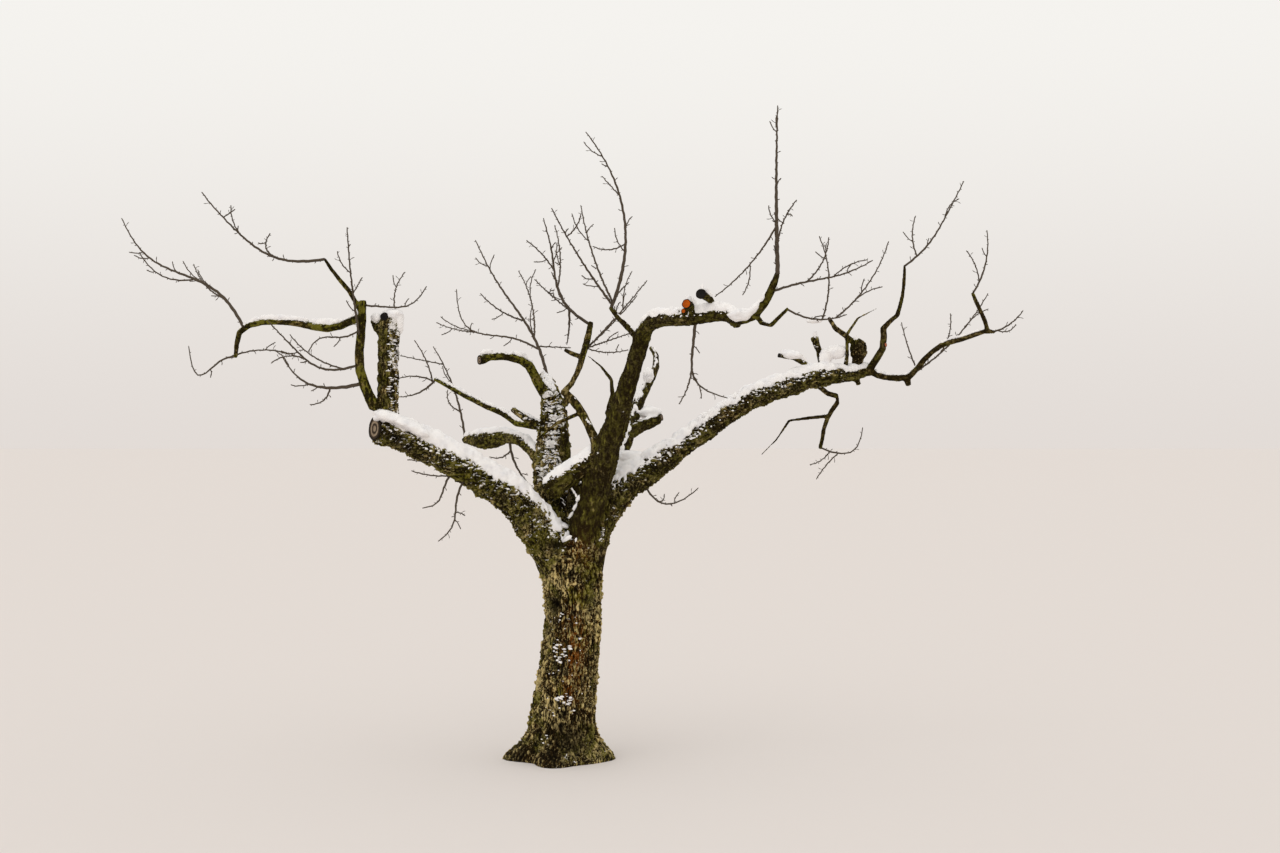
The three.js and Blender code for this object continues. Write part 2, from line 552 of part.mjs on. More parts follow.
function touchesTree(solid) {
  return standing.some(({ sleeve }) => boxesMeet(sleeve, solid) && !sleeve.intersect(solid).isEmpty());
}

// A mass: its named shoots, with the side twigs and spurs of the seeded rule that keep clear of the tree
function standMass({ name, shoots }, index) {
  const random = seeded(SEED + index);
  const lines = [];
  shoots.forEach((shoot) => {
    const foot = shoot.foot ?? lines[shoot.on].seenAt(shoot.at).toArray();
    lines.push(new Shoot({ ...shoot, foot }));
  });
  const named = lines.map((line, i) => ({ line, girth: shoots[i].girth }));
  const seededTwigs = lines.flatMap((line) => [...line.sides(SIDE_TWIG, random), ...line.sides(SPUR, random)]);
  const kept = [...named, ...seededTwigs.filter((twig) => !touchesTree(twigSolid(twig)))];
  const make = (growth) => wasm.Manifold.union(kept.map((twig) => twigSolid(twig, growth)));
  stand(name, make(0), make(GAP), twigBark);
}

// Snow along a limb: a lower, narrower copy of its line, lifted so that its top lies above the bark
function standSnow({ name, along, span, height, rings }) {
  const bough = BOUGHS.find((limb) => limb.name === along);
  const limb = centreLine(bough);
  const shares = Array.from({ length: rings + 1 }, (_, i) => THREE.MathUtils.lerp(span[0], span[1], i / rings));
  const widths = shares.map((share) => valueAt(bough.girth, limb.getUtoTmapping(share)));
  const points = shares.map((share, i) => {
    const radius = widths[i] / 2;
    const taper = Math.sin(Math.PI * THREE.MathUtils.clamp(i / rings, SNOW_END, 1 - SNOW_END));
    const lift = radius * (1 - SNOW_SPREAD) + height * Math.sqrt(taper);
    return limb.getPointAt(share).add(new THREE.Vector3(0, 0, lift));
  });
  const line = new THREE.CatmullRomCurve3(points, false, "centripetal");
  const girth = widths.map((width) => width * SNOW_SPREAD);
  stand(name, tube(line, girth, SNOW_SIDES, rings), tube(line, girth, SNOW_SIDES, rings, GAP), snow);
}

const bark = new THREE.MeshStandardMaterial({ color: "#453a1e", roughness: 0.95, metalness: 0 });
const twigBark = new THREE.MeshStandardMaterial({ color: "#3b2f20", roughness: 0.85, metalness: 0 });
const snow = new THREE.MeshStandardMaterial({ color: "#ede7e2", roughness: 0.6, metalness: 0 });

stand("trunk", trunkSolid(), trunkSolid(GAP), bark);
BOUGHS.forEach(standBough);
MASSES.forEach(standMass);
SNOW.forEach(standSnow);

const tree = new THREE.Group();
standing.forEach(({ name, solid, finish }) => {
  const { vertProperties, triVerts } = solid.getMesh();
  const geometry = new THREE.BufferGeometry();
  geometry.setAttribute("position", new THREE.BufferAttribute(vertProperties, 3));
  geometry.setIndex(new THREE.BufferAttribute(triVerts, 1));
  geometry.computeVertexNormals();
  const mesh = new THREE.Mesh(geometry, finish);
  mesh.name = name;
  tree.add(mesh);
});

export default tree;
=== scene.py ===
"""A bare, hard-pruned orchard tree in winter, with snow lying along its limbs.

Everything is in metres, +Z up, seen from the -Y side, with the origin at the middle of the flat cut at
ground level. Wood, twigs, snow and sawn faces are each built by their own class around the fixed frame.
"""

import logging
import math
from dataclasses import dataclass, field
from enum import Enum

import bmesh
import bpy
import numpy as np
from bpy.types import ID, Material, Mesh, Node, NodeSocket, NodeTree, Object, bpy_prop_collection
from mathutils import Matrix, Vector, noise
from mathutils.bvhtree import BVHTree
from numpy import ndarray as Array


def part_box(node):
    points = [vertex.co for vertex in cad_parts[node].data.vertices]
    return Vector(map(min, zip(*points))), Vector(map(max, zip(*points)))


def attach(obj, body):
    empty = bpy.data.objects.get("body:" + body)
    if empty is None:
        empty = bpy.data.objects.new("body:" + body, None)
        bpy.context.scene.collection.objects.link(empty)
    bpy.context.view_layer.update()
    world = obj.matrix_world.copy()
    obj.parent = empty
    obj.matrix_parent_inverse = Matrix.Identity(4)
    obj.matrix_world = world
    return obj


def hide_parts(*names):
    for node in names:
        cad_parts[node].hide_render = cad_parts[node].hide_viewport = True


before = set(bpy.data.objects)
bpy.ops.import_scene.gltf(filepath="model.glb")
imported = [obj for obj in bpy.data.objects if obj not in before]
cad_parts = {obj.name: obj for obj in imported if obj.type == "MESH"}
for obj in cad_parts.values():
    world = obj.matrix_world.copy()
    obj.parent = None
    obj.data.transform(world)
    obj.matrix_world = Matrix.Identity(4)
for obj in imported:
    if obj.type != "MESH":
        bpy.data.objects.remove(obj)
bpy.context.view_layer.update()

logging.basicConfig(level=logging.INFO, format="%(message)s")
log = logging.getLogger("winter_tree")

Pair = tuple[float, float]
Point = tuple[float, float, float]

# The view that the limbs are laid out in, in millimetres
EYE_DISTANCE = 13300.0
EYE_RIGHT = 578.0
EYE_HEIGHT = 2486.0
MM = 0.001

# The way that the snow came from
WINDWARD = (-0.12, -0.42, 0.9)

# Where the wood is divided into pieces: the crotch, and the two sides of the crown
CROTCH_HEIGHT = 1.58
LEFT_OF_CROWN = -0.25
RIGHT_OF_CROWN = 0.57


def place(right: float, up: float, away: float) -> Vector:
    """Finds the real place of a point that is seen in the trunk's plane.

    Args:
        right: Distance to the right of the trunk's middle, in millimetres.
        up: Height above the ground, in millimetres.
        away: How far the point stands behind the trunk's plane, in millimetres.

    Returns:
        The point in metres.
    """
    spread = 1 + away / EYE_DISTANCE
    x = EYE_RIGHT + (right - EYE_RIGHT) * spread
    z = EYE_HEIGHT + (up - EYE_HEIGHT) * spread
    return Vector((x, away, z)) * MM


def colour(code: str) -> tuple[float, float, float, float]:
    """Turns a six-figure colour into the linear values that a shader takes.

    Args:
        code: Red, green and blue as six hexadecimal figures.

    Returns:
        Linear red, green, blue and an alpha of one.
    """
    parts = [int(code[i:i + 2], 16) / 255 for i in (0, 2, 4)]
    linear = [p / 12.92 if p <= 0.04045 else ((p + 0.055) / 1.055) ** 2.4 for p in parts]
    return (linear[0], linear[1], linear[2], 1.0)


class Side(Enum):
    """The part of the tree that a piece belongs to."""

    TRUNK = "trunk"
    LEFT = "left"
    CENTRE = "centre"
    RIGHT = "right"


class Graph:
    """A node tree with short ways to add nodes and join them."""

    def __init__(self, tree: NodeTree) -> None:
        """Takes hold of a node tree.

        Args:
            tree: The material's tree or the group's.
        """
        self.tree = tree

    def add(self, kind: str, **settings: object) -> Node:
        """Adds a node and gives it its settings.

        Args:
            kind: The node's type.
            settings: Properties of the node by name.

        Returns:
            The new node.
        """
        node = self.tree.nodes.new(kind)
        for name, value in settings.items():
            setattr(node, name, value)
        return node

    def feed(self, socket: NodeSocket, value: object) -> None:
        """Gives a socket a plain value or joins another socket to it.

        Args:
            socket: The input.
            value: A number, a colour as six hexadecimal figures, or an output socket.
        """
        if isinstance(value, NodeSocket):
            self.tree.links.new(value, socket)
        else:
            socket.default_value = colour(value) if isinstance(value, str) else value

    def sum(self, operation: str, *values: object, clamp: bool = False) -> NodeSocket:
        """Adds a Math node.

        Args:
            operation: Its operation.
            values: Its inputs in order, as numbers or sockets.
            clamp: Whether its result stays from zero to one.

        Returns:
            Its output.
        """
        node = self.add("ShaderNodeMath", operation=operation, use_clamp=clamp)
        for i, value in enumerate(values):
            self.feed(node.inputs[i], value)
        return node.outputs[0]

    def blend(self, share: object, first: object, second: object) -> NodeSocket:
        """Mixes two colours.

        Args:
            share: How much of the second, from zero to one.
            first: A colour's six figures or a socket.
            second: The same for the other colour.

        Returns:
            The mixed colour.
        """
        node = self.add("ShaderNodeMix", data_type="RGBA")
        self.feed(node.inputs["Factor"], share)
        self.feed(node.inputs[6], first)
        self.feed(node.inputs[7], second)
        return node.outputs[2]

    def step(self, value: object, low: float, high: float) -> NodeSocket:
        """Turns a value into a smooth step from zero to one.

        Args:
            value: The socket to read.
            low: Where the step starts.
            high: Where it ends.

        Returns:
            The stepped value.
        """
        node = self.add("ShaderNodeMapRange", interpolation_type="SMOOTHSTEP")
        self.feed(node.inputs["Value"], value)
        self.feed(node.inputs["From Min"], low)
        self.feed(node.inputs["From Max"], high)
        return node.outputs["Result"]

    def cloud(self, vector: object, scale: object, detail: float = 4.0, rough: float = 0.55) -> NodeSocket:
        """Adds a Noise Texture.

        Args:
            vector: Where it is read.
            scale: Its scale.
            detail: Its octaves.
            rough: How strong the fine octaves are.

        Returns:
            Its value.
        """
        node = self.add("ShaderNodeTexNoise")
        self.feed(node.inputs["Vector"], vector)
        self.feed(node.inputs["Scale"], scale)
        node.inputs["Detail"].default_value = detail
        node.inputs["Roughness"].default_value = rough
        return node.outputs["Fac"]


# How soft the edges of the masks are that the shader groups give out
CRUST_EDGE = 0.07
DUST_EDGE = 0.09
DASH_EDGE = 0.05
CRACK_EDGE = 0.16

# How their cover sets the level that the noise of lichen and of dashes has to reach, and how noise is mixed
CRUST_LEVEL = (-0.5, 0.91)
CRUST_PATCHES = 0.35
DASH_LEVEL = (-0.3, 1.29)
DASH_PATCHES = 0.9
DUST_REACH = 2.4
FINE_GRAIN = 3.0
BROAD_GRAIN = 0.35
FINE_HEIGHT = 0.6
FINE_TONE = 0.3
BROAD_TONE = 0.7


def shader_group(
    name: str, inputs: dict[str, float | None], outputs: list[str]
) -> tuple[Graph, bpy_prop_collection, bpy_prop_collection]:
    """Starts a shader node group with named sockets.

    Args:
        name: The group's name.
        inputs: Input names with their first values, where None stands for a vector.
        outputs: Output names, all plain values.

    Returns:
        The group's graph, what comes into it and what goes out of it.
    """
    tree = bpy.data.node_groups.new(name, "ShaderNodeTree")
    for label, value in inputs.items():
        kind = "NodeSocketVector" if value is None else "NodeSocketFloat"
        socket = tree.interface.new_socket(label, in_out="INPUT", socket_type=kind)
        if value is not None:
            socket.default_value = value
    for label in outputs:
        tree.interface.new_socket(label, in_out="OUTPUT", socket_type="NodeSocketFloat")
    graph = Graph(tree)
    return graph, graph.add("NodeGroupInput").outputs, graph.add("NodeGroupOutput").inputs


def lichen_group() -> NodeTree:
    """Builds the group that scatters small crusts of lichen.

    Returns:
        A group with a Mask output.
    """
    labels = {"Place": None, "Size": 40.0, "Cover": 0.5}
    graph, enter, leave = shader_group("lichen_crusts", labels, ["Mask"])
    crusts = graph.cloud(enter["Place"], enter["Size"], detail=5.0, rough=0.65)
    patches = graph.cloud(enter["Place"], 5.0, detail=2.0)
    wide = graph.sum("MULTIPLY_ADD", patches, CRUST_PATCHES, crusts)
    limit = graph.sum("MULTIPLY_ADD", enter["Cover"], *CRUST_LEVEL)
    over = graph.sum("SUBTRACT", wide, limit)
    graph.feed(leave["Mask"], graph.step(over, 0.0, CRUST_EDGE))
    return graph.tree


def dusting_group() -> NodeTree:
    """Builds the group that lays a ragged dusting of snow where a surface faces up.

    Returns:
        A group with a Mask output.
    """
    labels = {"Place": None, "Facing": 0.0, "Size": 60.0, "Slope": 0.55, "Ragged": 0.5}
    graph, enter, leave = shader_group("snow_dusting", labels, ["Mask"])
    grains = graph.cloud(enter["Place"], enter["Size"], detail=5.0, rough=0.7)
    shift = graph.sum("MULTIPLY", graph.sum("SUBTRACT", grains, 0.5), enter["Ragged"])
    height = graph.sum("ADD", enter["Facing"], graph.sum("MULTIPLY", shift, DUST_REACH))
    over = graph.sum("SUBTRACT", height, enter["Slope"])
    graph.feed(leave["Mask"], graph.step(over, 0.0, DUST_EDGE))
    return graph.tree


def grain_group() -> NodeTree:
    """Builds the group for the fine roughness of bark: scales, cracks and pores.

    Returns:
        A group with Height and Tone outputs.
    """
    labels = {"Place": None, "Size": 30.0, "Cracks": 0.5}
    graph, enter, leave = shader_group("bark_grain", labels, ["Height", "Tone"])
    size = enter["Size"]
    fine = graph.cloud(enter["Place"], graph.sum("MULTIPLY", size, FINE_GRAIN), detail=5.0, rough=0.6)
    broad = graph.cloud(enter["Place"], graph.sum("MULTIPLY", size, BROAD_GRAIN), detail=3.0, rough=0.5)
    cells = graph.add("ShaderNodeTexVoronoi", feature="DISTANCE_TO_EDGE")
    graph.feed(cells.inputs["Vector"], enter["Place"])
    graph.feed(cells.inputs["Scale"], size)
    scales = graph.step(cells.outputs["Distance"], 0.0, CRACK_EDGE)
    cracked = graph.sum("MULTIPLY", scales, enter["Cracks"])
    graph.feed(leave["Height"], graph.sum("MULTIPLY_ADD", fine, FINE_HEIGHT, cracked))
    tone = graph.sum("MULTIPLY_ADD", broad, BROAD_TONE, graph.sum("MULTIPLY", fine, FINE_TONE))
    graph.feed(leave["Tone"], tone)
    return graph.tree


def dashes_group() -> NodeTree:
    """Builds the group that lays short level dashes of snow on the ledges of upright bark.

    Returns:
        A group with a Mask output.
    """
    labels = {"Place": None, "Across": 17.0, "Along": 76.0, "Wave": 0.09, "Cover": 0.5}
    graph, enter, leave = shader_group("snow_dashes", labels, ["Mask"])
    wave = graph.sum("MULTIPLY", graph.cloud(enter["Place"], 15.0, detail=3.0), enter["Wave"])
    lift = graph.add("ShaderNodeCombineXYZ")
    graph.feed(lift.inputs[2], wave)
    wavy = graph.add("ShaderNodeVectorMath", operation="ADD")
    graph.feed(wavy.inputs[0], enter["Place"])
    graph.feed(wavy.inputs[1], lift.outputs[0])
    scale = graph.add("ShaderNodeCombineXYZ")
    for axis, label in enumerate(("Across", "Across", "Along")):
        graph.feed(scale.inputs[axis], enter[label])
    flat = graph.add("ShaderNodeVectorMath", operation="MULTIPLY")
    graph.feed(flat.inputs[0], wavy.outputs[0])
    graph.feed(flat.inputs[1], scale.outputs[0])
    dashes = graph.cloud(flat.outputs[0], 1.0, detail=3.0, rough=0.5)
    patches = graph.cloud(enter["Place"], 9.0, detail=3.0)
    over = graph.sum("MULTIPLY_ADD", patches, DASH_PATCHES, dashes)
    limit = graph.sum("MULTIPLY_ADD", enter["Cover"], *DASH_LEVEL)
    graph.feed(leave["Mask"], graph.step(graph.sum("SUBTRACT", over, limit), 0.0, DASH_EDGE))
    return graph.tree


@dataclass(frozen=True)
class Groups:
    """The shader groups that the finishes share."""

    lichen: NodeTree
    dusting: NodeTree
    grain: NodeTree
    dashes: NodeTree


def start_material(name: str, roughness: float, gloss: float) -> tuple[Graph, Node]:
    """Makes a material with one Principled BSDF.

    Args:
        name: The material's name.
        roughness: The shader's plain roughness.
        gloss: How strongly it mirrors the sky.

    Returns:
        The material's graph and its shader.
    """
    material = bpy.data.materials.new(name)
    material.use_nodes = True
    graph = Graph(material.node_tree)
    shader = graph.tree.nodes["Principled BSDF"]
    shader.inputs["Roughness"].default_value = roughness
    shader.inputs["Specular IOR Level"].default_value = gloss
    return graph, shader


def use_group(graph: Graph, tree: NodeTree, **values: object) -> Node:
    """Places a shader group in a material.

    Args:
        graph: The material's graph.
        tree: The group.
        values: The group's inputs by name.

    Returns:
        The group's node.
    """
    node = graph.add("ShaderNodeGroup", node_tree=tree)
    for label, value in values.items():
        graph.feed(node.inputs[label], value)
    return node


def dress(graph: Graph, shader: Node, paint: NodeSocket, height: NodeSocket, bump: Pair) -> None:
    """Gives a shader its colour and its fine relief.

    Args:
        graph: The material's graph.
        shader: Its shader.
        paint: The colour.
        height: The fine relief.
        bump: How strong the relief is, and how high in metres.
    """
    node = graph.add("ShaderNodeBump")
    for label, value in zip(("Strength", "Distance"), bump):
        node.inputs[label].default_value = value
    graph.feed(node.inputs["Height"], height)
    graph.feed(shader.inputs["Normal"], node.outputs["Normal"])
    graph.feed(shader.inputs["Base Color"], paint)


def facing(graph: Graph, places: Node) -> NodeSocket:
    """Reads how far a surface faces the way that the snow came from.

    Args:
        graph: The material's graph.
        places: Its Texture Coordinate node.

    Returns:
        One where it faces that way, less the further it turns off it.
    """
    along = graph.add("ShaderNodeVectorMath", operation="DOT_PRODUCT")
    graph.feed(along.inputs[0], places.outputs["Normal"])
    along.inputs[1].default_value = WINDWARD
    return along.outputs["Value"]


@dataclass(frozen=True)
class BarkFinish:
    """Old fissured bark on the trunk and boughs, with moss, lichen, a rusty streak, dusted snow, and painted
    shade on the crown's limbs and in its fissures and hollows.
    """

    name: str = "old_bark"
    # Near black for the fissures, partly the bark's own dark and partly painted shade, and for painted shade
    # in the dents' hollows
    fissure: str = "0C0803"
    dark_plate: str = "1F1506"
    plate: str = "584018"
    pale_plate: str = "D8C183"
    smooth: str = "2C2409"
    smooth_pale: str = "453A14"
    dark_moss: str = "211C05"
    moss: str = "67641A"
    lichen: str = "C9B880"
    rust: str = "743F0A"
    # Near black brown for painted shade on the crown's limbs and in the bark's hollows, and for darker bark
    # at the foot of the trunk
    stain_and_shade: str = "241A0A"
    snow: str = "F2EEEA"
    bump: Pair = (0.6, 0.006)

    # Values between which one colour gives way to the next
    dark_to_plate: Pair = (0.44, 0.59)
    plate_to_pale: Pair = (0.59, 0.74)
    young_tones: Pair = (0.4, 0.7)
    moss_edge: Pair = (0.5, 0.62)
    moss_tones: Pair = (0.36, 0.72)
    rust_fades: Pair = (0.8, 0.6)
    shade_fades: Pair = (1.1, 0.75)
    fissure_edge: Pair = (0.95, 0.3)

    # How much each noise and stored value adds to the tone, and how moss, snow and relief answer
    broad_share: float = 0.4
    fine_share: float = 0.19
    pale_share: float = 0.14
    moss_share: float = 0.16
    most_moss: float = 0.85
    tuft_swells: float = 0.9

    # Lines by which crusts, fissures and snow grow or fade: a factor and what is added to it
    crusts_by_age: Pair = (0.95, -0.15)
    crusts_by_moss: Pair = (-0.6, 1.0)
    crusts_by_dark: Pair = (-0.8, 1.0)
    fissures_by_age: Pair = (0.9, 0.05)
    fissures_by_moss: Pair = (-0.6, 1.0)
    slope_by_dust: Pair = (-0.35, 1.1)
    snow_height: float = 0.8

    def make(self, groups: Groups) -> Material:
        """Builds the material.

        Args:
            groups: The shared shader groups.

        Returns:
            The material.
        """
        graph, shader = start_material(self.name, 0.92, 0.06)
        places = graph.add("ShaderNodeTexCoord")
        spot = places.outputs["Object"]

        def stored(name: str) -> NodeSocket:
            """Reads a value that the wood keeps at every vertex.

            Args:
                name: The value's name.

            Returns:
                The value.
            """
            return graph.add("ShaderNodeAttribute", attribute_name=name).outputs["Fac"]

        relief, age = stored("relief"), stored("age")
        grain = use_group(graph, groups.grain, Place=spot, Size=60.0, Cracks=0.6)
        swells = graph.sum("SUBTRACT", graph.cloud(spot, 6.0, detail=5.0, rough=0.65), 0.5)
        tone = graph.sum("MULTIPLY_ADD", swells, self.broad_share, grain.outputs["Tone"])
        tone = graph.sum("MULTIPLY_ADD", stored("tone"), self.fine_share, tone)
        tone = graph.sum("MULTIPLY_ADD", stored("pale"), self.pale_share, tone)
        plates = graph.blend(graph.step(tone, *self.dark_to_plate), self.dark_plate, self.plate)
        plates = graph.blend(graph.step(tone, *self.plate_to_pale), plates, self.pale_plate)
        young = graph.blend(graph.step(tone, *self.young_tones), self.smooth, self.smooth_pale)
        bark = graph.blend(age, young, plates)
        green = graph.cloud(spot, 8.0, detail=6.0, rough=0.7)
        green = graph.sum("MULTIPLY_ADD", stored("moss"), self.moss_share, green)
        mossy = graph.sum("MULTIPLY", graph.step(green, *self.moss_edge), self.most_moss)
        tufts = graph.sum("MULTIPLY_ADD", swells, self.tuft_swells, tone)
        moss = graph.blend(graph.step(tufts, *self.moss_tones), self.dark_moss, self.moss)
        bark = graph.blend(mossy, bark, moss)
        rusty = graph.sum("MULTIPLY", stored("rust"), graph.step(tone, *self.rust_fades))
        bark = graph.blend(rusty, bark, self.rust)
        # Painted shade: the dark mark darkens the bark towards near black brown, less on the palest plates
        dark = stored("dark")
        shady = graph.sum("MULTIPLY", dark, graph.step(tone, *self.shade_fades))
        bark = graph.blend(shady, bark, self.stain_and_shade)
        crust = use_group(graph, groups.lichen, Place=spot, Size=75.0, Cover=0.4)
        crusted = crust.outputs["Mask"]
        lines = (self.crusts_by_age, self.crusts_by_moss, self.crusts_by_dark)
        for value, line in zip((age, mossy, dark), lines):
            cover = graph.sum("MULTIPLY_ADD", value, *line, clamp=True)
            crusted = graph.sum("MULTIPLY", crusted, cover)
        bark = graph.blend(crusted, bark, self.lichen)
        # The fissures go near black where the relief is low: partly the bark's own dark, partly painted shade
        deep = graph.step(relief, *self.fissure_edge)
        for value, line in ((age, self.fissures_by_age), (stored("moss"), self.fissures_by_moss)):
            deep = graph.sum("MULTIPLY", deep, graph.sum("MULTIPLY_ADD", value, *line))
        # Painted shade: the dents' hollows go near black
        deep = graph.sum("MAXIMUM", deep, stored("hollow_shade"))
        bark = graph.blend(deep, bark, self.fissure)
        dusted = stored("dusted")
        slope = graph.sum("MULTIPLY_ADD", dusted, *self.slope_by_dust)
        up = facing(graph, places)
        dust = use_group(graph, groups.dusting, Place=spot, Facing=up, Size=45.0, Slope=slope, Ragged=dusted)
        dashes = use_group(graph, groups.dashes, Place=spot, Cover=stored("ledges"))
        white = graph.sum("MAXIMUM", dust.outputs["Mask"], dashes.outputs["Mask"])
        height = graph.sum("MULTIPLY_ADD", white, self.snow_height, grain.outputs["Height"])
        dress(graph, shader, graph.blend(white, bark, self.snow), height, self.bump)
        return bpy.data.materials[self.name]


@dataclass(frozen=True)
class TwigFinish:
    """Thin bark of shoots and spurs: dark brown with grey crusts and a trace of snow on top."""

    name: str = "twig_bark"
    dark: str = "170F07"
    brown: str = "382917"
    lichen: str = "7C775C"
    snow: str = "EFEAE6"
    bump: Pair = (0.3, 0.002)
    crust_strength: float = 0.4

    def make(self, groups: Groups) -> Material:
        """Builds the material.

        Args:
            groups: The shared shader groups.

        Returns:
            The material.
        """
        graph, shader = start_material(self.name, 0.78, 0.12)
        places = graph.add("ShaderNodeTexCoord")
        spot = places.outputs["Object"]
        grain = use_group(graph, groups.grain, Place=spot, Size=120.0, Cracks=0.3)
        tone = graph.step(grain.outputs["Tone"], 0.35, 0.65)
        bark = graph.blend(tone, self.dark, self.brown)
        crust = use_group(graph, groups.lichen, Place=spot, Size=90.0, Cover=0.45)
        crusted = graph.sum("MULTIPLY", crust.outputs["Mask"], self.crust_strength)
        bark = graph.blend(crusted, bark, self.lichen)
        up = facing(graph, places)
        dust = use_group(graph, groups.dusting, Place=spot, Facing=up, Size=9.0, Slope=0.93, Ragged=0.5)
        bark = graph.blend(dust.outputs["Mask"], bark, self.snow)
        dress(graph, shader, bark, grain.outputs["Height"], self.bump)
        return bpy.data.materials[self.name]


@dataclass(frozen=True)
class SnowFinish:
    """Settled snow: near white with faint painted shade in soft patches, as if in hollows, and a grainy
    surface.
    """

    name: str = "settled_snow"
    bright: str = "F7F4F2"
    shade: str = "EAE8E9"
    bump: Pair = (0.2, 0.004)

    def make(self, groups: Groups) -> Material:
        """Builds the material.

        Args:
            groups: The shared shader groups.

        Returns:
            The material.
        """
        graph, shader = start_material(self.name, 0.6, 0.25)
        spot = graph.add("ShaderNodeTexCoord").outputs["Object"]
        grain = use_group(graph, groups.grain, Place=spot, Size=70.0, Cracks=0.1)
        # Painted shade: soft patches of the snow turn a little greyer
        hollows = graph.step(graph.cloud(spot, 16.0, detail=3.0), 0.3, 0.6)
        paint = graph.blend(hollows, self.shade, self.bright)
        dress(graph, shader, paint, grain.outputs["Height"], self.bump)
        return bpy.data.materials[self.name]


@dataclass(frozen=True)
class SawnFinish:
    """A sawn face: rings round a pith that follow the face's own radius, with stains."""

    name: str
    wood: str
    ring: str
    stain: str
    rings: float = 22.0
    rim: str = "1E170D"
    bump: Pair = (0.3, 0.002)
    rim_edge: Pair = (0.86, 0.92)
    wobbling: float = 0.12
    rim_wobbling: float = 0.1
    most_stain: float = 0.5

    def make(self, groups: Groups) -> Material:
        """Builds the material.

        Args:
            groups: The shared shader groups.

        Returns:
            The material.
        """
        graph, shader = start_material(self.name, 0.8, 0.1)
        spot = graph.add("ShaderNodeTexCoord").outputs["Object"]
        radius = graph.add("ShaderNodeAttribute", attribute_name="ring_radius").outputs["Fac"]
        wobble = graph.cloud(spot, 30.0, detail=3.0)
        turns = graph.sum("MULTIPLY", graph.sum("MULTIPLY_ADD", wobble, self.wobbling, radius), self.rings)
        wave = graph.sum("PINGPONG", turns, 0.5)
        wood = graph.blend(graph.step(wave, 0.1, 0.45), self.ring, self.wood)
        stains = graph.step(graph.cloud(spot, 22.0, detail=4.0), 0.45, 0.65)
        stain = graph.sum("MULTIPLY", stains, self.most_stain)
        wood = graph.blend(stain, wood, self.stain)
        barked = graph.step(graph.sum("MULTIPLY_ADD", wobble, self.rim_wobbling, radius), *self.rim_edge)
        grain = use_group(graph, groups.grain, Place=spot, Size=90.0, Cracks=0.4)
        height = graph.sum("ADD", grain.outputs["Height"], wave)
        dress(graph, shader, graph.blend(barked, wood, self.rim), height, self.bump)
        return bpy.data.materials[self.name]


# What keeps a length from being divided by zero, and the least that an edge across the way still spreads
TINY = 1e-9
LEAST_WEIGHT = 1e-4


@dataclass
class Surface:
    """A mesh as arrays, for values that spread along its edges."""

    co: Array
    normal: Array
    edges: Array

    @classmethod
    def of(cls, mesh: Mesh) -> "Surface":
        """Reads a mesh.

        Args:
            mesh: The mesh.

        Returns:
            Its places, normals and edges.
        """
        co = np.empty(len(mesh.vertices) * 3)
        normal = np.empty(len(mesh.vertices) * 3)
        edges = np.empty(len(mesh.edges) * 2, dtype=np.int64)
        mesh.vertices.foreach_get("co", co)
        mesh.vertices.foreach_get("normal", normal)
        mesh.edges.foreach_get("vertices", edges)
        return cls(co.reshape(-1, 3), normal.reshape(-1, 3), edges.reshape(-1, 2))

    def spread(self, values: Array, times: int, share: object = 0.5, axis: Array | None = None,
               sharpness: float = 6.0) -> Array:
        """Spreads values from each vertex to its neighbours.

        Args:
            values: One row for each vertex.
            times: How often they spread.
            share: How much of its neighbours each vertex takes each time.
            axis: The direction at each vertex that they spread along, or None for all directions.
            sharpness: How closely they keep to that direction.

        Returns:
            The spread values.
        """
        flat = values.reshape(len(values), -1).copy()
        first, second = self.edges[:, 0], self.edges[:, 1]
        count = len(flat)
        if axis is None:
            into_first = into_second = np.ones(len(first))
        else:
            way = self.co[second] - self.co[first]
            way /= np.maximum(np.linalg.norm(way, axis=1), TINY)[:, None]
            into_first = np.abs((way * axis[first]).sum(1)) ** sharpness + LEAST_WEIGHT
            into_second = np.abs((way * axis[second]).sum(1)) ** sharpness + LEAST_WEIGHT
        weight = np.bincount(first, into_first, count) + np.bincount(second, into_second, count)
        for _ in range(times):
            for column in range(flat.shape[1]):
                line = flat[:, column]
                around = np.bincount(first, into_first * line[second], count)
                around += np.bincount(second, into_second * line[first], count)
                flat[:, column] = line + share * (around / weight - line)
        return flat.reshape(values.shape)

    def limb_axis(self, block: float = 0.05, reach: int = 2) -> Array:
        """Finds the way that the limb runs at each vertex, which is the way its normals change least.

        Args:
            block: The side of the blocks that the normals are gathered in, in metres.
            reach: How many blocks away they count.

        Returns:
            A direction for each vertex.
        """
        x, y, z = self.normal.T
        low = self.co.min(0) - block * (reach + 1)
        spot = ((self.co - low) / block).astype(int)
        shape = tuple(spot.max(0) + reach + 2)
        flat = np.ravel_multi_index(tuple(spot.T), shape)
        gathered = []
        for pair in (x * x, y * y, z * z, x * y, y * z, z * x):
            grid = np.bincount(flat, pair, int(np.prod(shape))).reshape(shape)
            for way in range(3):
                grid = sum(np.roll(grid, step, way) for step in range(-reach, reach + 1))
            gathered.append(grid[tuple(spot.T)])
        xx, yy, zz, xy, yz, zx = self.spread(np.stack(gathered, axis=1), 8).T
        around = np.stack([xx, xy, zx, xy, yy, yz, zx, yz, zz], axis=1).reshape(-1, 3, 3)
        return np.linalg.eigh(around)[1][:, :, 0]


def smooth_step(values: Array, low: float, high: float) -> Array:
    """Turns values into a smooth step from zero to one.

    Args:
        values: The values.
        low: Where the step starts.
        high: Where it ends.

    Returns:
        The stepped values.
    """
    share = np.clip((values - low) / (high - low), 0, 1)
    return share * share * (3 - 2 * share)


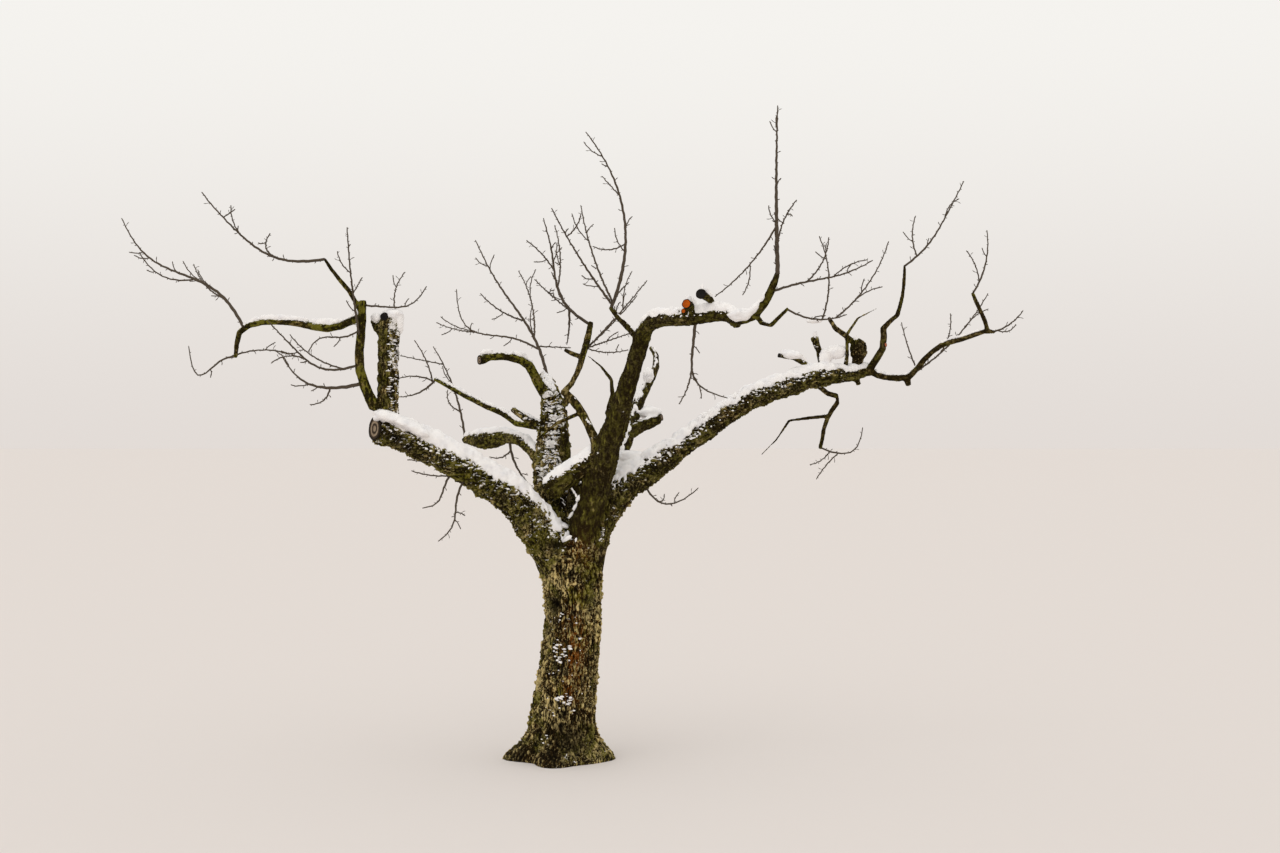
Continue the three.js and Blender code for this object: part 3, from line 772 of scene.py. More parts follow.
def layered(places: Array, layers: tuple[Point, ...]) -> Array:
    """Adds up layers of soft noise.

    Args:
        places: Points in metres.
        layers: The scale, seed and strength of each.

    Returns:
        The sum for each place.
    """
    return sum(strength * clouds(places, scale, seed) for scale, seed, strength in layers)


def clouds(places: Array, scale: float, seed: float) -> Array:
    """Reads soft seeded noise at many places.

    Args:
        places: Points in metres.
        scale: How many swells lie in a metre.
        seed: Moves the noise.

    Returns:
        A value from about -1 to 1 for each place.
    """
    shift = Vector((seed, seed * 0.37, -seed * 0.61))
    return np.array([noise.noise(Vector(spot) * scale + shift) for spot in places.tolist()])


def settled(name: str, shape: bmesh.types.BMesh) -> Mesh:
    """Writes a shape to a new mesh and frees it.

    Args:
        name: The mesh's name.
        shape: The shape, which is used up.

    Returns:
        The mesh.
    """
    mesh = bpy.data.meshes.new(name)
    shape.to_mesh(mesh)
    shape.free()
    return mesh


def stood(name: str, data: ID) -> Object:
    """Puts a new object into the scene.

    Args:
        name: Its name.
        data: Its mesh, camera or lamp.

    Returns:
        The object.
    """
    thing = bpy.data.objects.new(name, data)
    bpy.context.scene.collection.objects.link(thing)
    return thing


def one_skin(shape: bmesh.types.BMesh, cell: float) -> Mesh:
    """Turns overlapping closed shapes into one closed skin.

    Args:
        shape: The shapes, which are used up.
        cell: The size of the skin's faces in metres.

    Returns:
        The skin.
    """
    holder = stood("working", settled("working", shape))
    modifier = holder.modifiers.new("skin", "REMESH")
    modifier.mode = "VOXEL"
    modifier.voxel_size = cell
    bpy.context.view_layer.update()
    evaluated = holder.evaluated_get(bpy.context.evaluated_depsgraph_get())
    skin = bpy.data.meshes.new_from_object(evaluated)
    bpy.data.objects.remove(holder)
    return skin


def shown(name: str, mesh: Mesh, finish: Material) -> Object:
    """Puts a finished mesh into the scene as a piece of the tree.

    Args:
        name: The piece's name.
        mesh: Its mesh, in place.
        finish: Its material.

    Returns:
        The piece.
    """
    piece = stood(name, mesh)
    mesh.name = name
    mesh.materials.clear()
    mesh.materials.append(finish)
    mesh.shade_smooth()
    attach(piece, "root")
    triangles = sum(len(face.vertices) - 2 for face in mesh.polygons)
    log.info("%s: %d triangles", name, triangles)
    return piece


# How old and rough the bark of each limb is, from zero to one
AGE = {
    "trunk": 1.0, "left_bough": 0.95, "right_bough": 0.85, "centre_leader": 0.9, "cross_limb": 0.6,
    "left_upright": 0.7, "right_leader": 0.45, "centre_arch": 0.6, "back_limb": 0.4, "leader_arm": 0.5,
    "burr": 0.8,
}
YOUNGEST = 0.25

# How high the forms of the oldest bark on the thickest limbs stand, in metres
FISSURES = 0.015
LUMPS = 0.004
CHIPS = 0.0055
GRIT = 0.0024

# How much rounding off and how much of the random lumps a ribbed limb takes, as its ribs stand for them
RIBBED_ROUNDING = {"trunk": 0.2}
RIBBED_LUMPS = {"trunk": 0.35}

# How mossy the whole of a limb is
MOSSY = {
    "left_bough": 0.9, "right_bough": 0.75, "right_leader": 1.1, "centre_arch": 1.0, "back_limb": 0.9,
    "cross_limb": 0.9, "centre_leader": 0.5, "leader_arm": 1.0, "leader_tip": 0.9, "centre_elbow": 0.9,
    "centre_spar": 0.9, "left_riser": 0.8, "left_arm": 0.7, "left_upright": 0.5, "left_spar": 0.7,
}

# How much painted shade darkens the bark of each limb, as the crown stands dark against the light
SHADED = {
    "right_leader": 0.75, "cross_limb": 0.5, "centre_leader": 0.3, "leader_arm": 0.6, "leader_tip": 0.5,
    "right_bough": 0.45, "right_knee": 0.5, "right_arm": 0.5, "right_riser": 0.5, "right_hanger": 0.5,
    "back_limb": 0.5, "burr": 0.5, "left_bough": 0.15, "centre_arch": 0.3, "left_upright": 0.3,
}

# How much of the upright bark's ledges holds snow
LEDGES = {"left_upright": 0.95, "centre_leader": 1.0, "trunk": 0.15, "left_bough": 0.4, "right_bough": 0.4}

# Limbs by side of the crown, as the wood pieces stand for them
LIMBS = {
    Side.TRUNK: ["trunk"],
    Side.LEFT: [
        "left_bough", "left_upright", "left_riser", "left_arm", "left_spar", "centre_arch", "centre_spar",
    ],
    Side.CENTRE: [
        "centre_leader", "right_leader", "cross_limb", "inner_bough", "inner_riser", "centre_elbow",
    ],
    Side.RIGHT: [
        "right_bough", "leader_arm", "leader_tip", "back_limb", "right_knee", "right_arm", "right_riser",
        "right_hanger", "burr",
    ],
}


class CutAge(Enum):
    """How old a sawn face is."""

    FRESH = "fresh_cut"
    PALE = "pale_cut"
    WEATHERED = "weathered_cut"
    DARK = "dark_cut"


# How far a saw cut reaches past its face's middle and where its rim ends, in diameters of the face
SAWN_REACH = 0.8
RIM_REACH = 0.62

# The discs of the sawn faces, in metres where they have a unit
DISC_CORNERS = 36
DISC_RINGS = 6
DISC_DEPTH = 0.012
DISC_PROUD = 0.0035
DISC_ROUGH = 0.0014
DISC_DISH = 0.002
ROUGH_SCALE = 60
RIM_SCALE = 1.7
RIM_WAVE = 0.1

CUT_FINISHES = {
    CutAge.FRESH: SawnFinish("fresh_cut", "C8620F", "A9470A", "8A3A0A", rings=5.0),
    CutAge.PALE: SawnFinish("pale_cut", "C77A55", "A85A38", "7A4630", rings=6.0),
    CutAge.WEATHERED: SawnFinish("weathered_cut", "988670", "33281D", "4E3E30", rings=2.4),
    CutAge.DARK: SawnFinish("dark_cut", "24211E", "191715", "0D0C0B", rings=8.0),
}


@dataclass(frozen=True)
class Cut:
    """A sawn face: its middle as seen, its diameter in millimetres, the way it faces, and its age."""

    name: str
    seen: Point
    girth: float
    facing: Point
    age: CutAge

    def middle(self) -> Vector:
        """Finds the face's middle.

        Returns:
            The middle in metres.
        """
        return place(*self.seen)

    def way(self) -> Vector:
        """Finds the way that it faces.

        Returns:
            A direction one long.
        """
        return Vector(self.facing).normalized()

    def press(self, places: Array) -> Array:
        """Flattens the wood that stands out past the saw's plane.

        Args:
            places: The skin's places.

        Returns:
            The places with this face sawn flat.
        """
        way = np.array(self.way())
        off = places - np.array(self.middle())
        past = off @ way
        aside = np.linalg.norm(off - past[:, None] * way, axis=1)
        reach = self.girth * MM
        sawn = (past > 0) & (past < reach) & (aside < SAWN_REACH * reach)
        return places - way * np.where(sawn, past, 0)[:, None]

    def holds(self, places: Array) -> Array:
        """Tells which places lie on the face or round its rim.

        Args:
            places: The skin's places.

        Returns:
            True or false for each place.
        """
        return np.linalg.norm(places - np.array(self.middle()), axis=1) < RIM_REACH * self.girth * MM

    def face(self) -> Mesh:
        """Makes the sawn face as a thin dished disc with a ragged rim, let into the wood.

        Returns:
            The disc's mesh.
        """
        disc = bmesh.new()
        radius = self.girth * MM / 2
        bmesh.ops.create_circle(disc, cap_ends=True, segments=DISC_CORNERS, radius=radius)
        thickness = radius / (DISC_RINGS + 1.5)
        for _ in range(DISC_RINGS):
            inner = [face for face in disc.faces if len(face.verts) > 4]
            bmesh.ops.inset_region(disc, faces=inner, thickness=thickness, use_boundary=True)
        ring = disc.verts.layers.float.new("ring_radius")
        for vert in disc.verts:
            share = vert.co.length / radius
            vert[ring] = share
            turn = math.atan2(vert.co.y, vert.co.x)
            rough = noise.noise(Vector((vert.co.x * ROUGH_SCALE, vert.co.y * ROUGH_SCALE, self.girth)))
            round_it = Vector((math.cos(turn) * RIM_SCALE, math.sin(turn) * RIM_SCALE, self.girth))
            vert.co *= 1 + RIM_WAVE * noise.noise(round_it) * share
            vert.co.z = DISC_PROUD + DISC_ROUGH * rough - DISC_DISH * (1 - share)
        back = bmesh.ops.extrude_face_region(disc, geom=disc.faces[:], use_keep_orig=True)
        for item in back["geom"]:
            if isinstance(item, bmesh.types.BMVert):
                item.co.z -= DISC_DEPTH
        bmesh.ops.recalc_face_normals(disc, faces=disc.faces)
        turned = self.way().to_track_quat("Z", "Y").to_matrix().to_4x4()
        disc.transform(Matrix.Translation(self.middle()) @ turned)
        return settled(self.name, disc)


CUTS = [
    Cut("left_bough_cut", (-1406, 2470, -706), 168, (-0.8, -0.6, 0.08), CutAge.WEATHERED),
    Cut("left_upright_cut", (-1336, 3308, -708), 60, (-0.25, -0.95, 0.15), CutAge.DARK),
    Cut("leader_arm_cut", (925, 3404, -768), 66, (-0.3, -0.94, 0.12), CutAge.FRESH),
    Cut("leader_arm_twin_cut", (903, 3350, -718), 33, (-0.35, -0.93, 0.05), CutAge.FRESH),
    Cut("leader_arm_dark_cut", (1034, 3478, -846), 72, (-0.2, -0.95, 0.22), CutAge.DARK),
    Cut("right_knee_cut", (2414, 3097, 438), 34, (0.75, -0.65, 0.05), CutAge.PALE),
    Cut("centre_elbow_cut", (-622, 2983, 62), 72, (-0.85, -0.5, -0.05), CutAge.WEATHERED),
    Cut("right_stub_cut", (1618, 3018, 338), 34, (-0.9, -0.35, 0.15), CutAge.DARK),
    Cut("back_limb_cut", (738, 2555, 478), 56, (0.85, -0.35, 0.2), CutAge.WEATHERED),
]


# How uneven lumps are, and how many swells they have
UNEVENNESS = 0.22
UNEVEN_SCALE = 4


@dataclass(frozen=True)
class Clump:
    """A lump of snow or wood: its middle as seen, its width, height and depth, and its tilt in degrees."""

    seen: Point
    size: Point
    tilt: float = 0.0

    def heap(self, mesh: bmesh.types.BMesh, seed: float) -> None:
        """Adds the lump to a mesh.

        Args:
            mesh: The mesh.
            seed: A number that sets its unevenness.
        """
        made = bmesh.ops.create_icosphere(mesh, subdivisions=4, radius=0.5)["verts"]
        centre = place(*self.seen)
        tilted = Matrix.Rotation(-math.radians(self.tilt), 3, "Y")
        width, tall, deep = (length * MM for length in self.size)
        for vert in made:
            uneven = 1 + UNEVENNESS * noise.noise(vert.co * UNEVEN_SCALE + Vector((seed, 0, 0)))
            sized = Vector((vert.co.x * width, vert.co.y * deep, vert.co.z * tall))
            vert.co = centre + tilted @ sized * uneven


# Wood that the solids leave out: bark grown together in the fork, and a dead stub in front of a leader
WEBS = {
    "right_leader": [Clump((112, 2024, -50), (170, 64, 110), -54)],
    "cross_limb": [
        Clump((18, 2285, 150), (84, 170, 90), 0), Clump((12, 2370, 120), (60, 190, 60), -3),
        Clump((4, 2440, 110), (38, 130, 40), -5),
    ],
}


@dataclass(frozen=True)
class Patch:
    """A patch of the bark: its middle as seen, half its width and height, and how strong it is."""

    seen: Pair
    size: Pair
    strength: float = 1.0

    def shape(self, wood: "Wood", places: Array) -> Array:
        """Works out how much of the patch shows at each place, as deep in the tree as it is wide.

        Args:
            wood: The wood, which says how far away the patch is.
            places: The skin's places.

        Returns:
            One at its middle, falling to zero past its edge.
        """
        off = (places - np.array(wood.front_at(*self.seen))) / MM
        wide, tall = self.size
        return np.exp(-(off[:, 0] ** 2 + off[:, 1] ** 2) / wide ** 2 - (off[:, 2] / tall) ** 2)


# Hollows in the bark: how deep they are in millimetres, and where; a strong one is painted dark inside as
# shade
DENTS = [
    (24, Patch((-52, 1160), (40, 54), 1.0)), (26, Patch((10, 1935), (75, 110), 0.9)),
    (12, Patch((-75, 2330), (26, 34), 0.9)), (18, Patch((30, 90), (60, 60), 0.5)),
    (14, Patch((-30, 1600), (64, 40), 0.9)), (16, Patch((-1250, 2400), (64, 30), 1.0)),
    (14, Patch((-1160, 2340), (56, 30), 0.9)), (26, Patch((-205, 40), (26, 80), 0.8)),
]


class Mark(Enum):
    """Ways in which a patch of the bark differs from the rest: in its own colour, and in painted shade."""

    RUST = "rust"
    PALE = "pale"
    MOSS = "moss"
    # Painted shade on the crown's limbs and in the bark's hollows and the crotch, with darker bark at the
    # foot of the trunk
    DARK = "dark"


STAINS_AND_SHADE = {
    Mark.RUST: [
        Patch((92, 790), (82, 320), 0.95), Patch((50, 560), (52, 130), 0.8),
        Patch((130, 1560), (90, 130), 0.5),
    ],
    Mark.PALE: [
        Patch((-50, 1340), (70, 150)), Patch((40, 1400), (55, 70)), Patch((250, 900), (60, 420), 0.7),
        Patch((-150, 620), (60, 120)), Patch((-95, 290), (75, 170)), Patch((-110, 820), (70, 160), 0.8),
    ],
    Mark.MOSS: [
        Patch((210, 1380), (110, 240)), Patch((170, 170), (120, 130)), Patch((-150, 1560), (130, 150)),
        Patch((-900, 2200), (330, 150)),
    ],
    # Dark patches, mostly painted shade in hollows of the trunk, the crotch and the left bough; the first
    # three darken the foot of the trunk
    Mark.DARK: [
        Patch((50, 150), (170, 150), 0.95), Patch((-90, 30), (150, 110), 0.9),
        Patch((-320, 50), (110, 90), 0.9), Patch((-60, 1130), (60, 100), 0.9),
        Patch((-110, 960), (70, 160), 0.6), Patch((-70, 1590), (90, 60), 0.9),
        Patch((230, 640), (60, 150), 0.4), Patch((-1300, 2428), (62, 34), 0.9),
        Patch((-1230, 2370), (62, 36), 1.0), Patch((-1160, 2318), (62, 34), 1.0),
        Patch((-1092, 2272), (60, 30), 0.9),
    ],
}

# What each limb has of a mark, and what the others have; the dark mark takes each limb's painted shade
LIMB_MARKS = {Mark.MOSS: (MOSSY, 0.1), Mark.DARK: (SHADED, 0.0)}


def show_cuts(finishes: dict[CutAge, Material]) -> None:
    """Shows every sawn face.

    Args:
        finishes: A finish for each age.
    """
    for cut in CUTS:
        shown(cut.name, cut.face(), finishes[cut.age])


@dataclass
class Wood:
    """Trunk and boughs as one sculpted skin: joined where they meet, fissured along their length."""

    # The skin: size of its faces, growth of the limbs, rounds of rounding, a thick limb's radius, least share
    cell: float = 0.007
    overlap: float = 0.0012
    rounding: int = 46
    thick: float = 0.1
    thinnest: float = 0.35

    # Unrounded foot, start of rays inside the skin, rounds of evening out and merging, and greatest swell
    foot: float = 0.02
    skip: float = 0.004
    even: int = 12
    merging: int = 30
    most_swell: float = 0.0035

    # Edges of the plates and cracks, and how often all streaks spread, all ways and then along the limb
    plate_edge: float = 0.42
    plate_streaks: tuple[int, int] = (2, 14)
    crack_edge: float = 0.35
    crack_streaks: tuple[int, int] = (1, 6)
    crack_share: float = 0.5
    chip_streaks: tuple[int, int] = (2, 2)
    tone_streaks: tuple[int, int] = (2, 30)
    tone_shares: Point = (0.8, 0.4, 0.4)
    lump_width: int = 70
    level: float = 0.6
    ageing: float = 1.5
    girths: Pair = (0.12, 1.1)

    # Heights between which the bark comes to run straight up, and to rise from the flat cut at the ground
    upright: Pair = (1.5, 1.2)
    rising: Pair = (0.0, 0.03)
    flat: float = 0.004

    # Dusting on bare limbs and more for each millimetre of snow, and where ledges of upright bark hold snow
    dusting: Pair = (0.12, 0.008)
    above: Pair = (1.98, 2.1)
    ledge_turn: Pair = (0.1, 0.7)
    seed: int = 41

    # What is worked out on the way
    mesh: Mesh | None = None
    surface: Surface | None = None
    smooth_co: Array | None = None
    smooth_normal: Array | None = None
    radius: Array | None = None
    relief: Array | None = None
    owner: list[str] = field(default_factory=list)
    face_owner: list[str] = field(default_factory=list)
    solids: BVHTree | None = None

    def gather(self) -> bmesh.types.BMesh:
        """Copies every limb of the frame into one mesh, each grown a hair so that they overlap.

        Returns:
            The joined copies.
        """
        joined = bmesh.new()
        for side in Side:
            for node in LIMBS[side]:
                copy = bmesh.new()
                copy.from_mesh(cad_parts[node].data)
                bmesh.ops.remove_doubles(copy, verts=copy.verts, dist=1e-5)
                copy.normal_update()
                for vert in copy.verts:
                    vert.co += vert.normal * self.overlap
                for web in WEBS.get(node, []):
                    web.heap(copy, self.seed)
                self.face_owner += [node] * len(copy.faces)
                holder = settled(node, copy)
                joined.from_mesh(holder)
                bpy.data.meshes.remove(holder)
        return joined

    def front_at(self, right: float, up: float) -> Vector:
        """Finds the point of the wood that is met first when it is looked at from the eye.

        Args:
            right: Where it is seen, to the right of the trunk's middle, in millimetres.
            up: Its height as seen.

        Returns:
            The point in metres.
        """
        eye = Vector((EYE_RIGHT, -EYE_DISTANCE, EYE_HEIGHT)) * MM
        hit = self.solids.ray_cast(eye, (place(right, up, 0) - eye).normalized())[0]
        return hit or place(right, up, 0)

    def as_seen(self) -> Array:
        """Finds where each vertex of the skin is seen from the front.

        Returns:
            Rows of right and up, in millimetres.
        """
        places = self.smooth_co / MM
        spread = 1 + places[:, 1] / EYE_DISTANCE
        right = EYE_RIGHT + (places[:, 0] - EYE_RIGHT) / spread
        up = EYE_HEIGHT + (places[:, 2] - EYE_HEIGHT) / spread
        return np.stack([right, up], axis=1)

    def by_limb(self, values: dict[str, float], others: float) -> Array:
        """Deals a value out to the vertices of the skin by the limb that they belong to.

        Args:
            values: A value for each limb that has its own.
            others: The value of all other limbs.

        Returns:
            One value for each vertex.
        """
        return np.array([values.get(node, others) for node in self.owner], dtype=float)

    def measure(self) -> None:
        """Finds which limb each vertex of the skin belongs to and how thick it is there."""
        surface = self.surface
        radius = np.full(len(surface.co), self.thick)
        for i, (spot, normal) in enumerate(zip(surface.co.tolist(), surface.normal.tolist())):
            start, inward = Vector(spot), -Vector(normal)
            face = self.solids.find_nearest(start)[2]
            self.owner.append(self.face_owner[face])
            far = self.solids.ray_cast(start + inward * self.skip, inward)[3]
            radius[i] = min((far or 2 * self.thick) / 2 + self.skip / 2, 3 * self.thick)
        self.radius = surface.spread(radius, self.even)

    def round_off(self) -> None:
        """Rounds off the flats of the skin, less where the limb is thin, without making it thinner."""
        surface = self.surface
        share = 0.5 * np.clip(self.radius / self.thick, self.thinnest, 1) ** 2
        share *= surface.spread(self.by_limb(RIBBED_ROUNDING, 1.0), self.even)
        worn = self.rounding * share * self.cell ** 2 / 4
        swell = np.minimum(worn / self.radius, self.most_swell)
        grown = surface.co + surface.normal * swell[:, None]
        share[grown[:, 2] < self.foot] = 0
        for column in range(3):
            grown[:, column] = surface.spread(grown[:, column], self.rounding, share)
        grown[:, 2] = np.maximum(grown[:, 2], 0)
        surface.co = grown
        self.write(grown)
        self.surface = Surface.of(self.mesh)
        self.smooth_co, self.smooth_normal = self.surface.co.copy(), self.surface.normal.copy()

    def write(self, places: Array) -> None:
        """Writes new places to the skin.

        Args:
            places: One point for each vertex.
        """
        self.mesh.vertices.foreach_set("co", places.ravel())
        self.mesh.update()

    def keep(self, name: str, values: Array) -> None:
        """Stores a value on every vertex for the finish to read.

        Args:
            name: The attribute's name.
            values: One value for each vertex.
        """
        attribute = self.mesh.attributes.new(name, "FLOAT", "POINT")
        attribute.data.foreach_set("value", values.astype(np.float32))

    def fissure(self) -> None:
        """Cuts plates and fissures that run along the limbs, and lays out the bark's age, its stains and its
        painted shade.
        """
        surface = self.surface
        count = len(surface.co)
        age = surface.spread(self.by_limb(AGE, YOUNGEST), self.merging)
        axis = surface.limb_axis()
        upright = smooth_step(surface.co[:, 2], *self.upright)[:, None]
        axis = axis * np.where(axis[:, 2:] < 0, -1, 1)
        axis = axis * (1 - upright) + upright * np.array([0, 0, 1.0])
        axis /= np.maximum(np.linalg.norm(axis, axis=1), TINY)[:, None]
        random = np.random.default_rng(self.seed)

        def streaks(wide: int, long: int) -> Array:
            """Makes a field of streaks along the limbs.

            Args:
                wide: How often it spreads all ways first.
                long: How often it then spreads along the limb.

            Returns:
                A value for each vertex with a spread of one.
            """
            values = surface.spread(random.standard_normal(count), wide)
            values = surface.spread(values / values.std(), long, 0.8, axis)
            return values / values.std()

        plates = 1 - np.exp(-(streaks(*self.plate_streaks) / self.plate_edge) ** 2)
        cracks = 1 - np.exp(-(streaks(*self.crack_streaks) / self.crack_edge) ** 2)
        relief = np.clip(plates * (1 - self.crack_share + self.crack_share * cracks), 0, 1)
        lumps = surface.spread(random.standard_normal(count), self.lump_width)
        lumps *= surface.spread(self.by_limb(RIBBED_LUMPS, 1.0), self.merging) / lumps.std()
        chips = streaks(*self.chip_streaks)
        grit = surface.spread(random.standard_normal(count), 1)
        grit /= grit.std()
        girth = np.clip(self.radius / self.thick, *self.girths)
        lift = FISSURES * age ** self.ageing * girth * (relief - self.level) + LUMPS * girth * lumps
        lift += age * girth * (CHIPS * chips + GRIT * grit)
        lift *= smooth_step(surface.co[:, 2], *self.rising)
        places = surface.co + surface.normal * lift[:, None]
        places[:, 2] = np.where(surface.co[:, 2] < self.flat, 0.0, np.maximum(places[:, 2], 0.0))
        for cut in CUTS:
            places = cut.press(places)
        # Painted shade inside the dents, as strong as each dent is
        hollow_shade = np.zeros(count)
        for depth, dent in DENTS:
            shape = dent.shape(self, surface.co)
            places -= surface.normal * (depth * MM * shape)[:, None]
            hollow_shade = np.maximum(hollow_shade, dent.strength * shape)
        places[:, 2] = np.maximum(places[:, 2], 0.0)
        self.write(places)
        self.surface = Surface.of(self.mesh)
        self.relief = relief
        # Each mark is stored for the finish: rust, pale and moss are the bark's own colour, the dark mark
        # mostly painted shade
        for mark in Mark:
            stain_and_shade = [patch.strength * patch.shape(self, surface.co) for patch in STAINS_AND_SHADE[mark]]
            if mark in LIMB_MARKS:
                stain_and_shade.append(surface.spread(self.by_limb(*LIMB_MARKS[mark]), self.merging))
            self.keep(mark.value, np.max(stain_and_shade, axis=0))
        bare, snowy = self.dusting
        dusted = bare + snowy * self.by_limb(SNOWY, 0.0)
        ledges = self.by_limb(LEDGES, 0.0)
        above = smooth_step(surface.co[:, 2], *self.above)
        across, away = surface.normal[:, 0], surface.normal[:, 1]
        turned = {"left_upright": across + 0.25, "centre_leader": -away * above}
        for node, share in turned.items():
            held = ledges * smooth_step(share, *self.ledge_turn)
            ledges = np.where(np.array(self.owner) == node, held, ledges)
        of_chips, of_grit, of_streaks = self.tone_shares
        tone = of_chips * chips + of_grit * grit + of_streaks * streaks(*self.tone_streaks)
        kept = {
            "hollow_shade": hollow_shade, "ledges": surface.spread(ledges, 4), "relief": relief, "age": age,
            "tone": tone, "dusted": surface.spread(dusted, 20),
        }
        for name, values in kept.items():
            self.keep(name, values)

    def side_of(self) -> Array:
        """Finds the piece that each face of the skin goes to.

        Returns:
            The place in Side of each face.
        """
        centres = np.empty(len(self.mesh.polygons) * 3)
        self.mesh.polygons.foreach_get("center", centres)
        centres = centres.reshape(-1, 3)
        sides = np.full(len(centres), 2)
        sides[centres[:, 0] < LEFT_OF_CROWN] = 1
        sides[centres[:, 0] > RIGHT_OF_CROWN] = 3
        sides[centres[:, 2] < CROTCH_HEIGHT] = 0
        return sides

    def divide(self, finish: Material) -> None:
        """Divides the skin into its pieces, each closed inside the wood where it was parted.

        Args:
            finish: The bark.
        """
        sides = self.side_of()
        whole = bmesh.new()
        whole.from_mesh(self.mesh)
        for place_in_side, side in enumerate(Side):
            part = whole.copy()
            part.faces.ensure_lookup_table()
            others = [part.faces[i] for i in np.flatnonzero(sides != place_in_side)]
            bmesh.ops.delete(part, geom=others, context="FACES")
            rims = [edge for edge in part.edges if edge.is_boundary]
            for edge in rims:
                edge.smooth = False
            bmesh.ops.holes_fill(part, edges=rims, sides=0)
            piece = shown(f"{side.value}_wood", settled(side.value, part), finish)
            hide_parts(*LIMBS[side])
        whole.free()

    def build(self, finish: Material) -> None:
        """Sculpts the wood and shows it.

        Args:
            finish: The bark.
        """
        joined = self.gather()
        self.solids = BVHTree.FromBMesh(joined)
        self.mesh = one_skin(joined, self.cell)
        self.surface = Surface.of(self.mesh)
        self.measure()
        self.round_off()
        self.fissure()
        self.divide(finish)


# How deep the snow lies on each limb's upper side, in millimetres
SNOWY = {
    "left_bough": 90, "right_bough": 54, "cross_limb": 44, "leader_arm": 56, "leader_tip": 34,
    "left_arm": 44, "centre_elbow": 50, "centre_arch": 44, "centre_spar": 38, "right_arm": 24,
    "back_limb": 40,
    "right_leader": 26, "centre_leader": 26, "left_upright": 26, "inner_bough": 24, "burr": 30,
    "right_knee": 16, "left_riser": 12, "right_hanger": 16, "inner_riser": 12, "left_spar": 24,
    "right_riser": 10,
}

# How far it spills over the front of a limb, and how much more ragged than elsewhere it is
SPILLING = {
    "left_bough": 1.0, "right_bough": 0.62, "cross_limb": 0.9, "centre_leader": 0.2, "leader_arm": 0.5,
}
TUFTED = {"right_bough": 1.5, "leader_arm": 1.5}

# How far a face has to turn up to hold snow, where the snow doesn't spill and where it does
TOP_ONLY = 0.62
OVER_FRONT = 0.3

# Ovals, as seen from the front, that the limbs above keep free of snow: middle and half size
SHELTERED = [
    ((82, 1900), (52, 110)), ((4, 1690), (50, 34)), ((30, 1702), (46, 30)), ((-1362, 2462), (48, 46)),
    ((10, 2370), (36, 90)),
]

# Heaps in the crotches, on the stubs and on bends
CLUMPS = [
    Clump((-66, 1756, -190), (150, 76, 110), -42),
    Clump((4, 1746, -80), (84, 40, 100), -22),
    Clump((34, 1648, -212), (84, 34, 34), 32),
    Clump((100, 1640, -205), (16, 46, 22), -14),
    Clump((505, 2256, 220), (250, 100, 190)),
    Clump((80, 2004, -106), (84, 18, 26), -54),
    Clump((114, 1948, -118), (62, 36, 26), 64),
    Clump((94, 1886, -98), (84, 30, 26), 62),
    Clump((64, 1826, -66), (84, 28, 36), 50),
    Clump((-30, 2440, 330), (150, 90, 110)),
    Clump((-60, 2600, 360), (110, 120, 100)),
    Clump((650, 2590, 520), (190, 100, 150)),
    Clump((1715, 3020, 350), (170, 60, 90)),
    Clump((1960, 3000, 470), (110, 150, 100)),
    Clump((2045, 3045, 450), (160, 110, 100)),
    Clump((1880, 3280, 380), (130, 44, 70)),
    Clump((1345, 3320, -935), (200, 88, 130), 6),
    Clump((1440, 3372, -965), (120, 56, 100), 40),
    Clump((1505, 3455, -990), (110, 40, 80), 58),
    Clump((640, 2870, 700), (90, 130, 80)),
    Clump((-1275, 3322, -640), (160, 84, 150)),
    Clump((-1222, 3265, -630), (60, 170, 110)),
    Clump((-1390, 3300, -660), (90, 70, 90)),
    Clump((-1310, 2562, -725), (220, 84, 180), -16),
    Clump((-1210, 2524, -705), (250, 80, 180), -26),
    Clump((-1110, 2474, -685), (250, 76, 180), -28),
    Clump((-1376, 2560, -740), (90, 44, 100), 30),
]


